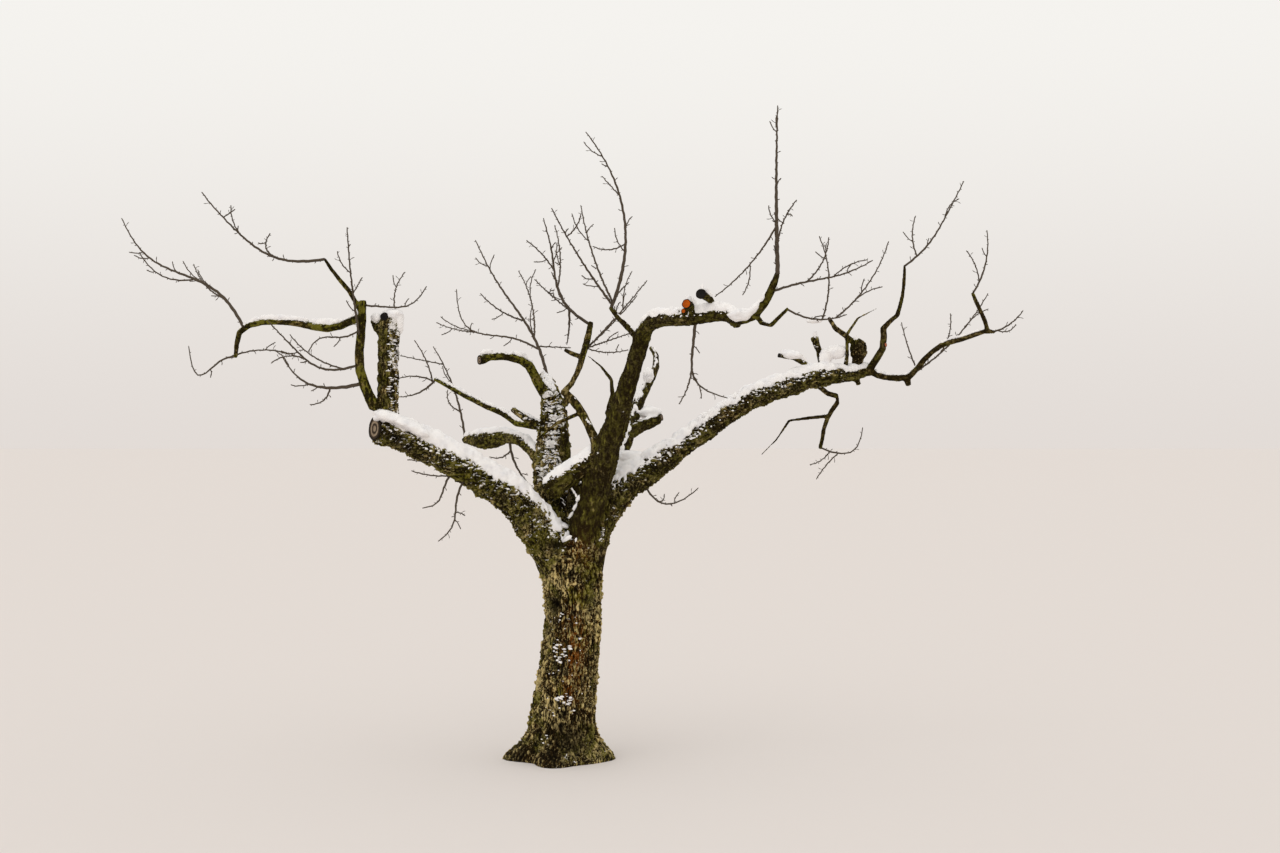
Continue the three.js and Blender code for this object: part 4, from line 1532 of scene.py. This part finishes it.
@dataclass
class Snow:
    """Snow along the upper sides of the limbs, with heaps in the crotches and on the stubs."""

    wood: Wood

    # Size of the skin's faces, how deep the snow is sunk in the wood, and rounds of settling
    cell: float = 0.0085
    sunk: float = 0.006
    settling: int = 4

    # Layers of noise, each with its scale, seed and strength: ragged edges, swells, gaps and ripples
    rags: tuple[Point, ...] = ((8.0, 3.1, 0.34), (26.0, 8.7, 0.34), (70.0, 5.1, 0.3))
    bark_rags: float = 0.25
    swells: Point = (6.0, 5.3, 0.22)
    least_swell: float = 0.9
    gaps: Point = (4.5, 17.9, 1.0)
    gap_edge: Pair = (-0.25, 0.25)
    gaps_by_depth: float = 14
    ripples: tuple[Point, ...] = ((26.0, 1.7, 0.003), (70.0, 4.4, 0.0035))

    # What the thin edge loses, the edge of a sheltered oval, a last puffing up, and the gap to the ground
    edge_loss: float = 0.003
    fringe: Pair = (0.9, 1.05)
    puff: float = 0.0015
    off_ground: float = 0.0005
    seed: int = 77

    def depth(self) -> Array:
        """Works out how deep the snow lies at each vertex of the wood.

        Returns:
            Depths in metres, zero or less where there is none.
        """
        wood = self.wood
        surface = Surface(wood.smooth_co, wood.smooth_normal, wood.surface.edges)
        most = surface.spread(wood.by_limb(SNOWY, 0.0) * MM, 8)
        windward = surface.normal @ np.array(WINDWARD)
        upward = surface.normal[:, 2]
        ragged = layered(surface.co, self.rags) - self.bark_rags * (wood.relief - 0.5)
        ragged *= surface.spread(wood.by_limb(TUFTED, 1.0), 8)
        facing = surface.spread((windward + upward) / 2, 3)
        spill = surface.spread(wood.by_limb(SPILLING, 0.0), 8)
        edge = TOP_ONLY + (OVER_FRONT - TOP_ONLY) * spill
        slope = np.clip((facing + ragged - edge) / (1 - edge), 0, 1)
        swell = self.least_swell + layered(surface.co, (self.swells,))
        gaps = layered(surface.co, (self.gaps,)) + most * self.gaps_by_depth
        gaps = smooth_step(gaps, *self.gap_edge)
        seen = wood.as_seen()
        for middle, oval in SHELTERED:
            inside = np.linalg.norm((seen - np.array(middle)) / np.array(oval), axis=1)
            gaps = gaps * smooth_step(inside, *self.fringe)
        return most * np.sqrt(slope) * swell * gaps - self.edge_loss

    def cover(self) -> bmesh.types.BMesh:
        """Raises the snow from the upward faces of the wood as one closed shell.

        Returns:
            The shell.
        """
        wood = self.wood
        depth = self.depth()
        shell = bmesh.new()
        shell.from_mesh(wood.mesh)
        shell.verts.ensure_lookup_table()
        for vert, spot in zip(shell.verts, (wood.smooth_co - self.sunk * wood.smooth_normal).tolist()):
            vert.co = spot
        bare = [face for face in shell.faces if min(depth[vert.index] for vert in face.verts) <= 0]
        deep = shell.verts.layers.float.new("deep")
        for vert in shell.verts:
            vert[deep] = depth[vert.index] + self.sunk
        bmesh.ops.delete(shell, geom=bare, context="FACES")
        raised = bmesh.ops.extrude_face_region(shell, geom=shell.faces[:], use_keep_orig=True)
        for item in raised["geom"]:
            if isinstance(item, bmesh.types.BMVert):
                item.co.z += item[deep]
        bmesh.ops.recalc_face_normals(shell, faces=shell.faces)
        return shell

    def build(self, finish: Material) -> None:
        """Lays the snow and shows it.

        Args:
            finish: The snow.
        """
        shell = self.cover()
        for index, clump in enumerate(CLUMPS):
            clump.heap(shell, self.seed + index)
        mesh = one_skin(shell, self.cell)
        surface = Surface.of(mesh)
        places = surface.spread(surface.co, self.settling)
        places = places + surface.normal * (layered(places, self.ripples) + self.puff)[:, None]
        places[:, 2] = np.maximum(places[:, 2], self.off_ground)
        mesh.vertices.foreach_set("co", places.ravel())
        mesh.update()
        piece = shown("snow_on_limbs", mesh, finish)
        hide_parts(*[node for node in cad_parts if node.startswith("snow_")])


# The way that the upper front of a limb faces
ON_TOP = (0.0, -0.75, 0.65)


@dataclass(frozen=True)
class Scatter:
    """Snow flecks in an oval of a limb's bark: its middle and half its size as seen, how many, how big.

    Their way is the way that the bark has to face to hold them.
    """

    limb: str
    seen: Pair
    oval: Pair
    count: int
    size: Point = (30, 13, 12)
    way: Point = (0.0, -1.0, 0.0)


SCATTERS = [
    Scatter("trunk", (4, 795), (72, 80), 26),
    Scatter("trunk", (15, 446), (70, 50), 14, (36, 15, 13)),
    Scatter("trunk", (-64, 334), (24, 14), 3),
    Scatter("trunk", (75, 356), (20, 16), 3),
    Scatter("trunk", (225, 465), (22, 18), 3),
    Scatter("trunk", (-34, 1080), (30, 16), 3),
    Scatter("trunk", (-98, 904), (24, 26), 4),
    Scatter("trunk", (142, 904), (26, 20), 2),
    Scatter("trunk", (-154, 675), (18, 40), 4),
    Scatter("trunk", (300, 120), (40, 60), 8, (34, 16, 14)),
    Scatter("trunk", (-150, 130), (50, 80), 5, (24, 10, 9)),
    Scatter("trunk", (0, 720), (220, 480), 26, (18, 9, 8)),
    Scatter("trunk", (40, 700), (400, 700), 60, (26, 11, 10), (0.0, 1.0, 0.0)),
    Scatter("centre_leader", (-60, 2227), (85, 170), 60, (30, 11, 10)),
    Scatter("centre_leader", (-45, 2557), (95, 170), 60, (30, 11, 10)),
    Scatter("left_upright", (-1268, 2950), (70, 320), 70, (34, 8, 7), (0.7, -0.7, 0.0)),
    Scatter("left_bough", (-700, 2300), (900, 500), 160, (22, 12, 10), ON_TOP),
    Scatter("right_bough", (1200, 2600), (900, 600), 170, (24, 12, 10), ON_TOP),
    Scatter("leader_arm", (1000, 3300), (500, 200), 40, (20, 10, 9), ON_TOP),
    Scatter("cross_limb", (250, 2250), (400, 300), 30, (22, 11, 9), ON_TOP),
]


@dataclass
class Flecks:
    """Small flecks of snow that lodge on the ledges of the bark."""

    wood: Wood
    # How far the bark faces a scatter's way, how proud it stands, how flecks sag, and their range of size
    turned: float = 0.72
    least_relief: float = 0.3
    sag: float = 0.3
    smallest: float = 0.5
    biggest: float = 1.3
    seed: int = 311

    def fleck(self) -> tuple[Array, list[tuple[int, ...]]]:
        """Makes the shape that every fleck is a copy of: a small round lump.

        Returns:
            Its points and its faces.
        """
        lump = bmesh.new()
        bmesh.ops.create_uvsphere(lump, u_segments=7, v_segments=4, radius=0.5)
        points = np.array([vert.co[:] for vert in lump.verts])
        faces = [tuple(vert.index for vert in face.verts) for face in lump.faces]
        lump.free()
        return points, faces

    def lodged(self, points: Array, vertex: int, size: Array) -> Array:
        """Lays one fleck flat and level against the bark.

        Args:
            points: The lump's points.
            vertex: The vertex of the wood where it lies.
            size: Its width, height and depth in metres.

        Returns:
            The fleck's points.
        """
        normal = Vector(self.wood.smooth_normal[vertex])
        level = normal.cross(Vector((0, 0, 1))).normalized()
        rise = level.cross(normal).normalized()
        wide, tall, deep = (points * size).T
        tall = tall - self.sag * size[1] * np.abs(points[:, 0])
        frame_of = np.stack([np.array(level), np.array(rise), np.array(normal)])
        return self.wood.surface.co[vertex] + np.stack([wide, tall, deep], axis=1) @ frame_of

    def build(self, finish: Material) -> None:
        """Lodges every fleck and shows them as one piece.

        Args:
            finish: The snow.
        """
        random = np.random.default_rng(self.seed)
        owner = np.array(self.wood.owner)
        seen = self.wood.as_seen()
        points, faces = self.fleck()
        rough = self.wood.relief > self.least_relief
        for cut in CUTS:
            rough &= ~cut.holds(self.wood.smooth_co)
        places, joined = [], []
        for scatter in SCATTERS:
            off = (seen - np.array(scatter.seen)) / np.array(scatter.oval)
            facing_it = self.wood.smooth_normal @ np.array(scatter.way) > self.turned
            near = (owner == scatter.limb) & ((off ** 2).sum(1) < 1) & facing_it
            choice = np.flatnonzero(near & rough)
            count = min(scatter.count, len(choice) // 3)
            for vertex in random.choice(choice, count, replace=False):
                size = np.array(scatter.size) * MM * random.uniform(self.smallest, self.biggest, 3)
                start = len(places) * len(points)
                places.append(self.lodged(points, vertex, size))
                joined += [tuple(corner + start for corner in face) for face in faces]
        mesh = bpy.data.meshes.new("lodged_snow")
        mesh.from_pydata(np.concatenate(places).tolist(), [], joined)
        shown("lodged_snow", mesh, finish)


@dataclass(frozen=True)
class Plan:
    """A named shoot of a mass: its tip as seen, its girth, and its bow and sway to its left.

    It starts from a foot, as seen, or at a share of the length of a shoot before it, the first unless named.
    """

    tip: Point
    girth: float
    bow: float = 0.0
    sway: float = 0.0
    foot: Point | None = None
    on: int = 0
    at: float = 0.0


@dataclass(frozen=True)
class TwigRule:
    """The seeded rule for twigs at even steps along a shoot, in millimetres and radians."""

    step: float
    length: Pair
    girth: float
    lean: float
    turn: float
    spread: float


# Girth of every tip in millimetres, bow as a share of the length, and most girth as a share of the parent's
TIP_GIRTH = 7.5
TWIG_BOW = 0.08
MOST_GIRTH = 0.85
HAIR = 0.001
TWIG_SEED = 1207

# Shares of a seeded twig's length at which it has to keep clear of the limbs
TESTED = (0.35, 0.7, 1.0)

# A spur or bud from foot to tip: share of its length and radius in millimetres
BUD_PROFILE = ((0.0, 3.2), (0.45, 2.3), (0.7, 3.6), (0.88, 2.9), (1.08, 0.0))

# Where the crown's middle ends on each side, for its twigs
LEFT_TWIGS = -0.75
RIGHT_TWIGS = 1.0

# The way that a tube's first corner points, and how many sides tubes have
TUBE_START = (0.31, 0.95, 0.17)
NAMED_CORNERS = 7
SIDE_CORNERS = 5
BUD_CORNERS = 4

# The rule for each kind of seeded twig
SIDE_TWIG = TwigRule(step=560, length=(150, 320), girth=9.0, lean=0.7, turn=math.pi / 2, spread=1.7)
FINE_TWIG = TwigRule(step=420, length=(50, 130), girth=8.0, lean=0.8, turn=0.0, spread=2.4)
SPUR = TwigRule(step=150, length=(22, 48), girth=10.0, lean=1.05, turn=0.0, spread=1.6)
BUD = TwigRule(step=42, length=(10, 19), girth=9.0, lean=0.95, turn=0.0, spread=1.3)

# Every mass with its named shoots
MASSES: dict[str, list[Plan]] = {
    "twigs_far_left": [
        Plan((-3300, 4043, -150), 24, 10, -75, foot=(-2385, 3225, -440)),
        Plan((-3165, 3788, -420), 12, 85, at=0.42),
        Plan((-2760, 3700, 180), 12, 40, at=0.2),
    ],
    "twigs_left_spar": [
        Plan((-2700, 4238, -1050), 20, 165, 25, foot=(-1780, 3738, -897)),
        Plan((-2453, 4110, -900), 9, at=0.78),
        Plan((-2190, 3930, -1350), 12, 60, at=0.3),
    ],
    "twigs_left_fall": [
        Plan((-2798, 3083, -60), 15, 150, -70, foot=(-2448, 3010, -332)),
        Plan((-1943, 2993, -560), 12, 60, at=0.12),
    ],
    "twigs_left_riser": [
        Plan((-2205, 3278, -1080), 18, 140, 30, foot=(-1520, 2950, -722)),
        Plan((-2040, 3173, -480), 12, 45, at=0.12),
        Plan((-2180, 2960, -1150), 10, -40, at=0.5),
    ],
    "twigs_left_low": [
        Plan((-2093, 3000, -640), 27, 126, -10, foot=(-1500, 2810, -715)),
        Plan((-1890, 2650, -420), 13, 40, at=0.35),
    ],
    "twigs_left_top": [
        Plan((-1613, 3975, -930), 17, 14, foot=(-1514, 3125, -752)),
        Plan((-1500, 3600, -960), 9, at=0.42),
        Plan((-1905, 3045, -1000), 13, -35, 30, at=0.09),
    ],
    "twigs_left_inward": [
        Plan((-1020, 3533, -560), 14, -90, 20, foot=(-1496, 3395, -750)),
        Plan((-1180, 3640, -260), 10, 30, at=0.45),
    ],
    "twigs_arch_end": [
        Plan((-968, 3083, 1420), 20, -45, foot=(-730, 2375, 1290)),
        Plan((-1215, 3015, 1250), 10, at=0.8),
        Plan((-860, 2760, 1700), 13, 40, at=0.3),
    ],
    "twigs_spar_end": [
        Plan((-1223, 2708, 1060), 18, 35, foot=(-950, 2838, 893)),
        Plan((-1240, 2840, 760), 13, -30, at=0.06),
        Plan((-1110, 3130, 1010), 12, -20, at=0.1),
    ],
    "twigs_under_left": [
        Plan((-930, 1628, -430), 17, 35, -25, foot=(-740, 2085, -505)),
        Plan((-1047, 1876, -640), 16, 45, -20, foot=(-832, 2135, -520)),
        Plan((-1130, 2155, -700), 11, 16, on=1, at=0.06),
        Plan((-1162, 2236, -370), 10, -26, on=1, at=0.03),
        Plan((-732, 1819, -330), 9, 8, at=0.5),
    ],
    "twigs_under_arch": [
        Plan((-195, 2003, 620), 22, -45, foot=(-398, 2375, 756)),
        Plan((-548, 2258, 900), 14, 30, at=0.15),
    ],
    "twigs_under_right": [
        Plan((1013, 2025, -40), 15, -145, -10, foot=(600, 2075, 140)),
        Plan((760, 1980, 330), 10, -40, at=0.25),
    ],
    "twigs_leader": [
        Plan((-653, 3878, 760), 26, -40, -30, foot=(-105, 2800, 440)),
        Plan((-615, 3480, 260), 14, 30, at=0.42),
        Plan((-795, 3510, 1150), 16, 140, -65, at=0.22),
        Plan((-945, 3263, 1320), 11, 15, on=2, at=0.6),
        Plan((60, 3075, 700), 12, at=0.24),
        Plan((-330, 3650, 1250), 14, -40, at=0.3),
    ],
    "twigs_inner": [
        Plan((-143, 4043, 60), 24, 96, 36, foot=(204, 3250, 256)),
        Plan((-270, 3878, -210), 12, -15, at=0.55),
        Plan((-83, 3640, 330), 10, at=0.25),
        Plan((-210, 3585, -470), 13, 10, at=0.08),
        Plan((30, 3100, 420), 20, 10, at=0.2),
        Plan((-60, 3990, 560), 13, -30, at=0.4),
    ],
    "twigs_fan": [
        Plan((630, 3578, 620), 16, -10, foot=(157, 3045, 176)),
        Plan((518, 3188, -330), 12, at=0.06),
        Plan((555, 3465, -60), 12, -10, at=0.1),
        Plan((488, 3060, 620), 11, -25, at=0.05),
    ],
    "twigs_tall": [
        Plan((173, 4688, -330), 27, -195, foot=(360, 3368, -205)),
        Plan((293, 4358, -60), 10, at=0.62),
        Plan((225, 3833, 40), 11, 35, at=0.35),
        Plan((-83, 4118, -720), 18, 20, at=0.02),
        Plan((135, 4073, -880), 10, -20, on=3, at=0.72),
        Plan((135, 4140, 150), 16, 30, at=0.03),
        Plan((495, 3563, -420), 12, 10, at=0.04),
    ],
    "twigs_top": [
        Plan((1608, 4886, -1240), 32, 10, foot=(1609, 3625, -1118)),
        Plan((1140, 3458, -1120), 13, 40, at=0.29),
        Plan((1750, 4180, -1560), 13, 40, at=0.12),
    ],
    "twigs_tip_right": [
        Plan((2318, 3728, -800), 17, -20, 15, foot=(1556, 3492, -1032)),
        Plan((1990, 3900, -1350), 11, -40, at=0.35),
    ],
    "twigs_hook": [
        Plan((2123, 3323, -900), 15, -55, foot=(1682, 3362, -1088)),
        Plan((1920, 3908, -1040), 12, -60, at=0.6),
        Plan((2438, 3870, -640), 12, -55, at=0.82),
    ],
    "twigs_arm_hang": [
        Plan((1230, 2700, -480), 23, -160, 35, foot=(998, 3285, -672)),
        Plan((870, 2655, -860), 14, 20, at=0.5),
    ],
    "twigs_knee": [
        Plan((3000, 4320, 80), 16, -50, -10, foot=(2557, 3685, 300)),
        Plan((2640, 4060, 620), 12, 30, at=0.15),
    ],
    "twigs_arm_up": [
        Plan((3180, 3480, 640), 14, -50, foot=(2625, 2882, 384)),
        Plan((2535, 3263, 560), 12, 10, at=0.04),
        Plan((2900, 3330, 60), 10, -30, at=0.3),
    ],
    "twigs_riser": [
        Plan((3173, 3953, 440), 15, -45, foot=(3066, 3478, 328)),
        Plan((3020, 3800, 80), 10, -20, at=0.2),
    ],
    "twigs_right_end": [
        Plan((3443, 3353, 40), 14, -25, foot=(3225, 3196, 184)),
        Plan((3390, 3250, 420), 10, -30, at=0.1),
    ],
    "twigs_hanger": [
        Plan((2243, 2475, 860), 14, -125, 10, foot=(1926, 2330, 698)),
        Plan((1898, 2093, 560), 10, -10, at=0.3),
        Plan((1850, 2200, 980), 10, 20, at=0.15),
    ],
}


DRAW_RANGE = 2 ** 32


class Draws:
    """Seeded numbers from 0 to 1, the same on every run."""

    def __init__(self, seed: int) -> None:
        """Starts the row of numbers.

        Args:
            seed: Its first state.
        """
        self.state = seed

    def next(self) -> float:
        """Draws the next number.

        Returns:
            The number.
        """
        self.state = (self.state * 1664525 + 1013904223) % DRAW_RANGE
        return self.state / DRAW_RANGE

    def between(self, low: float, high: float) -> float:
        """Draws a number between two others.

        Args:
            low: The lower.
            high: The higher.

        Returns:
            The number.
        """
        return low + (high - low) * self.next()


class Shoot:
    """A shoot's line from foot to tip as seen from the front, bowed and swayed to its left."""

    def __init__(self, foot: Vector, tip: Vector, girth: float, bow: float = 0.0, sway: float = 0.0) -> None:
        """Sets the line out.

        Args:
            foot: Where it starts, as seen, in millimetres.
            tip: Where it ends.
            girth: Its diameter at the foot.
            bow: How far its middle bends to its left.
            sway: How far its quarters bend, the first to its left and the last to its right.
        """
        self.foot = foot
        self.along = tip - foot
        self.girth = girth
        self.bow = bow
        self.sway = sway
        self.left = Vector((-self.along.y, self.along.x, 0)).normalized()
        self.length = self.along.length

    def seen_at(self, share: float) -> Vector:
        """Finds a point of the line as seen, at a share of its length.

        Args:
            share: The share, from foot to tip.

        Returns:
            The point.
        """
        aside = self.bow * 4 * share * (1 - share) + self.sway * math.sin(2 * math.pi * share)
        return self.foot + self.along * share + self.left * aside

    def at(self, share: float) -> Vector:
        """Finds a point of the line in its real place, in metres.

        Args:
            share: The share, from foot to tip.

        Returns:
            The point.
        """
        return place(*self.seen_at(share))

    def side(self, share: float, length: float, lean: float, turn: float, girth: float) -> "Shoot":
        """Grows a side twig.

        Args:
            share: How far along this shoot its foot stands.
            length: Its length.
            lean: How far it leans off this shoot.
            turn: Its turn round this shoot, 0 to its left.
            girth: Its diameter at the foot.

        Returns:
            The side twig.
        """
        foot = self.seen_at(share)
        ahead = (self.seen_at(share + HAIR) - foot).normalized()
        left = Vector((-ahead.y, ahead.x, 0)).normalized()
        back = left.cross(ahead)
        off = left * math.cos(turn) + back * math.sin(turn)
        tip = foot + ahead * (length * math.cos(lean)) + off * (length * math.sin(lean))
        return Shoot(foot, tip, girth, bow=length * TWIG_BOW)

    def sides(self, rule: TwigRule, draws: Draws) -> list["Shoot"]:
        """Grows twigs at even steps along the shoot, on one side and the other by turns.

        Args:
            rule: Their rule.
            draws: The seeded numbers.

        Returns:
            The twigs.
        """
        count = int(self.length / rule.step)
        grown = []
        for i in range(count):
            share = (i + 0.5 + 0.5 * (draws.next() - 0.5)) / count
            turn = rule.turn + (i % 2) * math.pi + rule.spread * (draws.next() - 0.5)
            reach = draws.between(*rule.length)
            girth = min(rule.girth, MOST_GIRTH * self.girth_at(share))
            grown.append(self.side(share, reach, rule.lean, turn, girth))
        return grown

    def girth_at(self, share: float) -> float:
        """Finds the diameter at a share of the length.

        Args:
            share: The share, from foot to tip.

        Returns:
            The diameter in millimetres.
        """
        return self.girth + (TIP_GIRTH - self.girth) * share


class TwigMesh:
    """Many tapering tubes joined in one mesh."""

    def __init__(self) -> None:
        """Starts with no tubes."""
        self.places: list[Array] = []
        self.faces: list[tuple[int, ...]] = []
        self.count = 0

    def tube(self, line: list[Vector], radii: list[float], corners: int) -> None:
        """Adds a tube that is closed at its foot and comes to a point at its tip.

        Args:
            line: Its middle line in metres.
            radii: Its radius at each point of the line, in metres.
            corners: How many sides it has.
        """
        turns = np.arange(corners) * (2 * math.pi / corners)
        across = Vector(TUBE_START)
        for i, spot in enumerate(line[:-1]):
            ahead = (line[i + 1] - line[max(i - 1, 0)]).normalized()
            across = (across - ahead * across.dot(ahead)).normalized()
            other = ahead.cross(across)
            ring = np.outer(np.cos(turns), across) + np.outer(np.sin(turns), other)
            self.places.append(np.array(spot) + ring * radii[i])
        self.places.append(np.array(line[-1]).reshape(1, 3))
        rings = len(line) - 1
        for i in range(rings - 1):
            low = self.count + i * corners
            for j in range(corners):
                k = (j + 1) % corners
                self.faces.append((low + j, low + k, low + corners + k, low + corners + j))
        last = self.count + (rings - 1) * corners
        point = last + corners
        self.faces += [(last + j, last + (j + 1) % corners, point) for j in range(corners)]
        self.faces.append(tuple(self.count + j for j in reversed(range(corners))))
        self.count = point + 1

    def mesh(self, name: str) -> Mesh:
        """Joins the tubes.

        Args:
            name: The mesh's name.

        Returns:
            The mesh.
        """
        mesh = bpy.data.meshes.new(name)
        mesh.from_pydata(np.concatenate(self.places).tolist(), [], self.faces)
        return mesh


@dataclass
class Twigs:
    """The masses of bare twigs, each grown by the seeded rule from its named shoots."""

    wood: Wood

    # Distance between buds, kink and swelling there, and the tip's point, in millimetres or shares
    knot_step: float = 34.0
    kink: float = 2.6
    swelling: float = 0.16
    least_kink: float = 0.3
    point: float = 4.0
    shortest: float = 60.0

    # How clear of the limbs a twig stays, and how far past its mass's box it may reach, in metres
    clear: float = 0.004
    reach: float = 0.05

    def grow_bare(self, mesh: TwigMesh, shoot: Shoot, draws: Draws, corners: int) -> None:
        """Adds a shoot as a tube that kinks a little at each bud.

        Args:
            mesh: The mesh that it joins.
            shoot: The shoot.
            draws: The seeded numbers.
            corners: How many sides it has.
        """
        knots = max(3, round(shoot.length / self.knot_step))
        line, radii = [], []
        for i in range(knots + 1):
            share = i / knots
            seen = shoot.seen_at(share)
            free = min(1.0, i / 2) * (1.0 if i < knots else 0.0)
            kink = self.kink * free * (1 if i % 2 else -1) * draws.between(self.least_kink, 1.0)
            seen = seen + shoot.left * kink + Vector((0, 0, self.kink * free * (draws.next() - 0.5) * 2))
            line.append(place(*seen))
            swollen = 1.0 + self.swelling * draws.next() * free
            radii.append(shoot.girth_at(share) * 0.5 * MM * swollen)
        line.append(shoot.at(1 + self.point / max(shoot.length, self.shortest)))
        mesh.tube(line, radii, corners)

    def grow_spur(self, mesh: TwigMesh, spur: Shoot, corners: int) -> None:
        """Adds a short spur or a bud: a stalk that swells to a pointed bud at its tip.

        Args:
            mesh: The mesh that it joins.
            spur: Its line.
            corners: How many sides it has.
        """
        fat = min(1.0, spur.girth / SPUR.girth) * MM
        line = [spur.at(share) for share, _ in BUD_PROFILE]
        mesh.tube(line, [radius * fat for _, radius in BUD_PROFILE], corners)

    def stands_clear(self, twig: Shoot, low: Vector, high: Vector) -> bool:
        """Tests that a seeded twig keeps inside its mass's space and off the limbs.

        Args:
            twig: The twig.
            low: The lowest corner of the space.
            high: Its highest corner.

        Returns:
            Whether it may stay.
        """
        for share in TESTED:
            spot = twig.at(share)
            if any(spot[axis] < low[axis] or spot[axis] > high[axis] for axis in range(3)):
                return False
            if self.wood.solids.find_nearest(spot)[3] < self.clear + twig.girth * MM / 2:
                return False
        return True

    def grow_mass(self, mesh: TwigMesh, name: str, index: int) -> None:
        """Grows one mass: its named shoots, their side twigs, and the spurs and buds on all of them.

        Args:
            mesh: The mesh that it joins.
            name: The mass.
            index: Its place in the list, which sets its seed.
        """
        draws = Draws(TWIG_SEED + index)
        low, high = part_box(name)
        margin = Vector((self.reach, self.reach, self.reach))
        low, high = low - margin, high + margin
        named: list[Shoot] = []
        for plan in MASSES[name]:
            foot = Vector(plan.foot) if plan.foot else named[plan.on].seen_at(plan.at)
            named.append(Shoot(foot, Vector(plan.tip), plan.girth, plan.bow, plan.sway))
        side = [twig for shoot in named for twig in shoot.sides(SIDE_TWIG, draws)]
        side = [twig for twig in side if self.stands_clear(twig, low, high)]
        fine = [twig for shoot in named + side for twig in shoot.sides(FINE_TWIG, draws)]
        fine = [twig for twig in fine if self.stands_clear(twig, low, high)]
        for shoot in named:
            self.grow_bare(mesh, shoot, draws, NAMED_CORNERS)
        for shoot in side + fine:
            self.grow_bare(mesh, shoot, draws, SIDE_CORNERS)
        for shoot in named + side:
            for spur in shoot.sides(SPUR, draws):
                if self.stands_clear(spur, low, high):
                    self.grow_spur(mesh, spur, SIDE_CORNERS)
        for shoot in named + side + fine:
            for bud in shoot.sides(BUD, draws):
                self.grow_spur(mesh, bud, BUD_CORNERS)

    def build(self, finish: Material) -> None:
        """Grows every mass into three pieces, one for each side of the crown.

        Args:
            finish: The twig bark.
        """
        meshes = {side: TwigMesh() for side in (Side.LEFT, Side.CENTRE, Side.RIGHT)}
        members: dict[Side, list[str]] = {side: [] for side in meshes}
        for index, name in enumerate(MASSES):
            low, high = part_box(name)
            middle = (low.x + high.x) / 2
            side = Side.LEFT if middle < LEFT_TWIGS else Side.RIGHT if middle > RIGHT_TWIGS else Side.CENTRE
            self.grow_mass(meshes[side], name, index)
            members[side].append(name)
        for side, mesh in meshes.items():
            piece = shown(f"{side.value}_twigs", mesh.mesh(side.value), finish)
            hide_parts(*members[side])


@dataclass
class Studio:
    """Camera, plain pale floor, pale surroundings and soft light."""

    lens: float = 50.0
    sensor: float = 36.0
    sight: float = 200.0
    floor_reach: float = 400.0
    sky_top: str = "F5F3EF"
    sky_low: str = "E2DBD6"
    ground: str = "E1DAD6"
    horizon: Pair = (-0.04, 0.24)
    lamp_angle: float = 1.2
    lamp_energy: float = 0.5
    lamp_aim: Point = (4.0, 7.0, -8.0)

    def stand_camera(self) -> None:
        """Stands the camera level at the height of the crown's middle."""
        camera = bpy.data.cameras.new("eye")
        camera.lens = self.lens
        camera.sensor_width = self.sensor
        camera.clip_end = self.sight
        holder = stood("eye", camera)
        holder.location = Vector((EYE_RIGHT, -EYE_DISTANCE, EYE_HEIGHT)) * MM
        holder.rotation_euler = (math.pi / 2, 0, 0)
        bpy.context.scene.camera = holder

    def lay_floor(self) -> None:
        """Lays a round plain floor."""
        disc = bmesh.new()
        bmesh.ops.create_circle(disc, cap_ends=True, segments=96, radius=self.floor_reach)
        floor = stood("floor", settled("floor", disc))
        shader = start_material("pale_floor", 0.9, 0.1)[1]
        shader.inputs["Base Color"].default_value = colour(self.ground)
        floor.data.materials.append(bpy.data.materials["pale_floor"])

    def light(self) -> None:
        """Lights the tree from a pale sky, brighter above than low down, and one broad soft lamp."""
        world = bpy.data.worlds.new("sky")
        bpy.context.scene.world = world
        world.use_nodes = True
        graph = Graph(world.node_tree)
        shade = graph.tree.nodes["Background"]
        heights = graph.add("ShaderNodeSeparateXYZ")
        graph.feed(heights.inputs[0], graph.add("ShaderNodeTexCoord").outputs["Generated"])
        rise = graph.step(heights.outputs["Z"], *self.horizon)
        graph.feed(shade.inputs["Color"], graph.blend(rise, self.sky_low, self.sky_top))
        lamp = bpy.data.lights.new("soft_lamp", "SUN")
        lamp.angle = self.lamp_angle
        lamp.energy = self.lamp_energy
        holder = stood("soft_lamp", lamp)
        holder.rotation_euler = Vector(self.lamp_aim).to_track_quat("-Z", "Y").to_euler()
        bpy.context.scene.view_settings.view_transform = "Standard"

    def build(self) -> None:
        """Sets up everything round the tree."""
        self.stand_camera()
        self.lay_floor()
        self.light()


def main() -> None:
    """Builds the tree and its surroundings in order."""
    Studio().build()
    groups = Groups(lichen_group(), dusting_group(), grain_group(), dashes_group())
    wood = Wood()
    wood.build(BarkFinish().make(groups))
    show_cuts({age: finish.make(groups) for age, finish in CUT_FINISHES.items()})
    Twigs(wood).build(TwigFinish().make(groups))
    snow = SnowFinish().make(groups)
    Snow(wood).build(snow)
    Flecks(wood).build(snow)


if __name__ == "__main__":
    main()
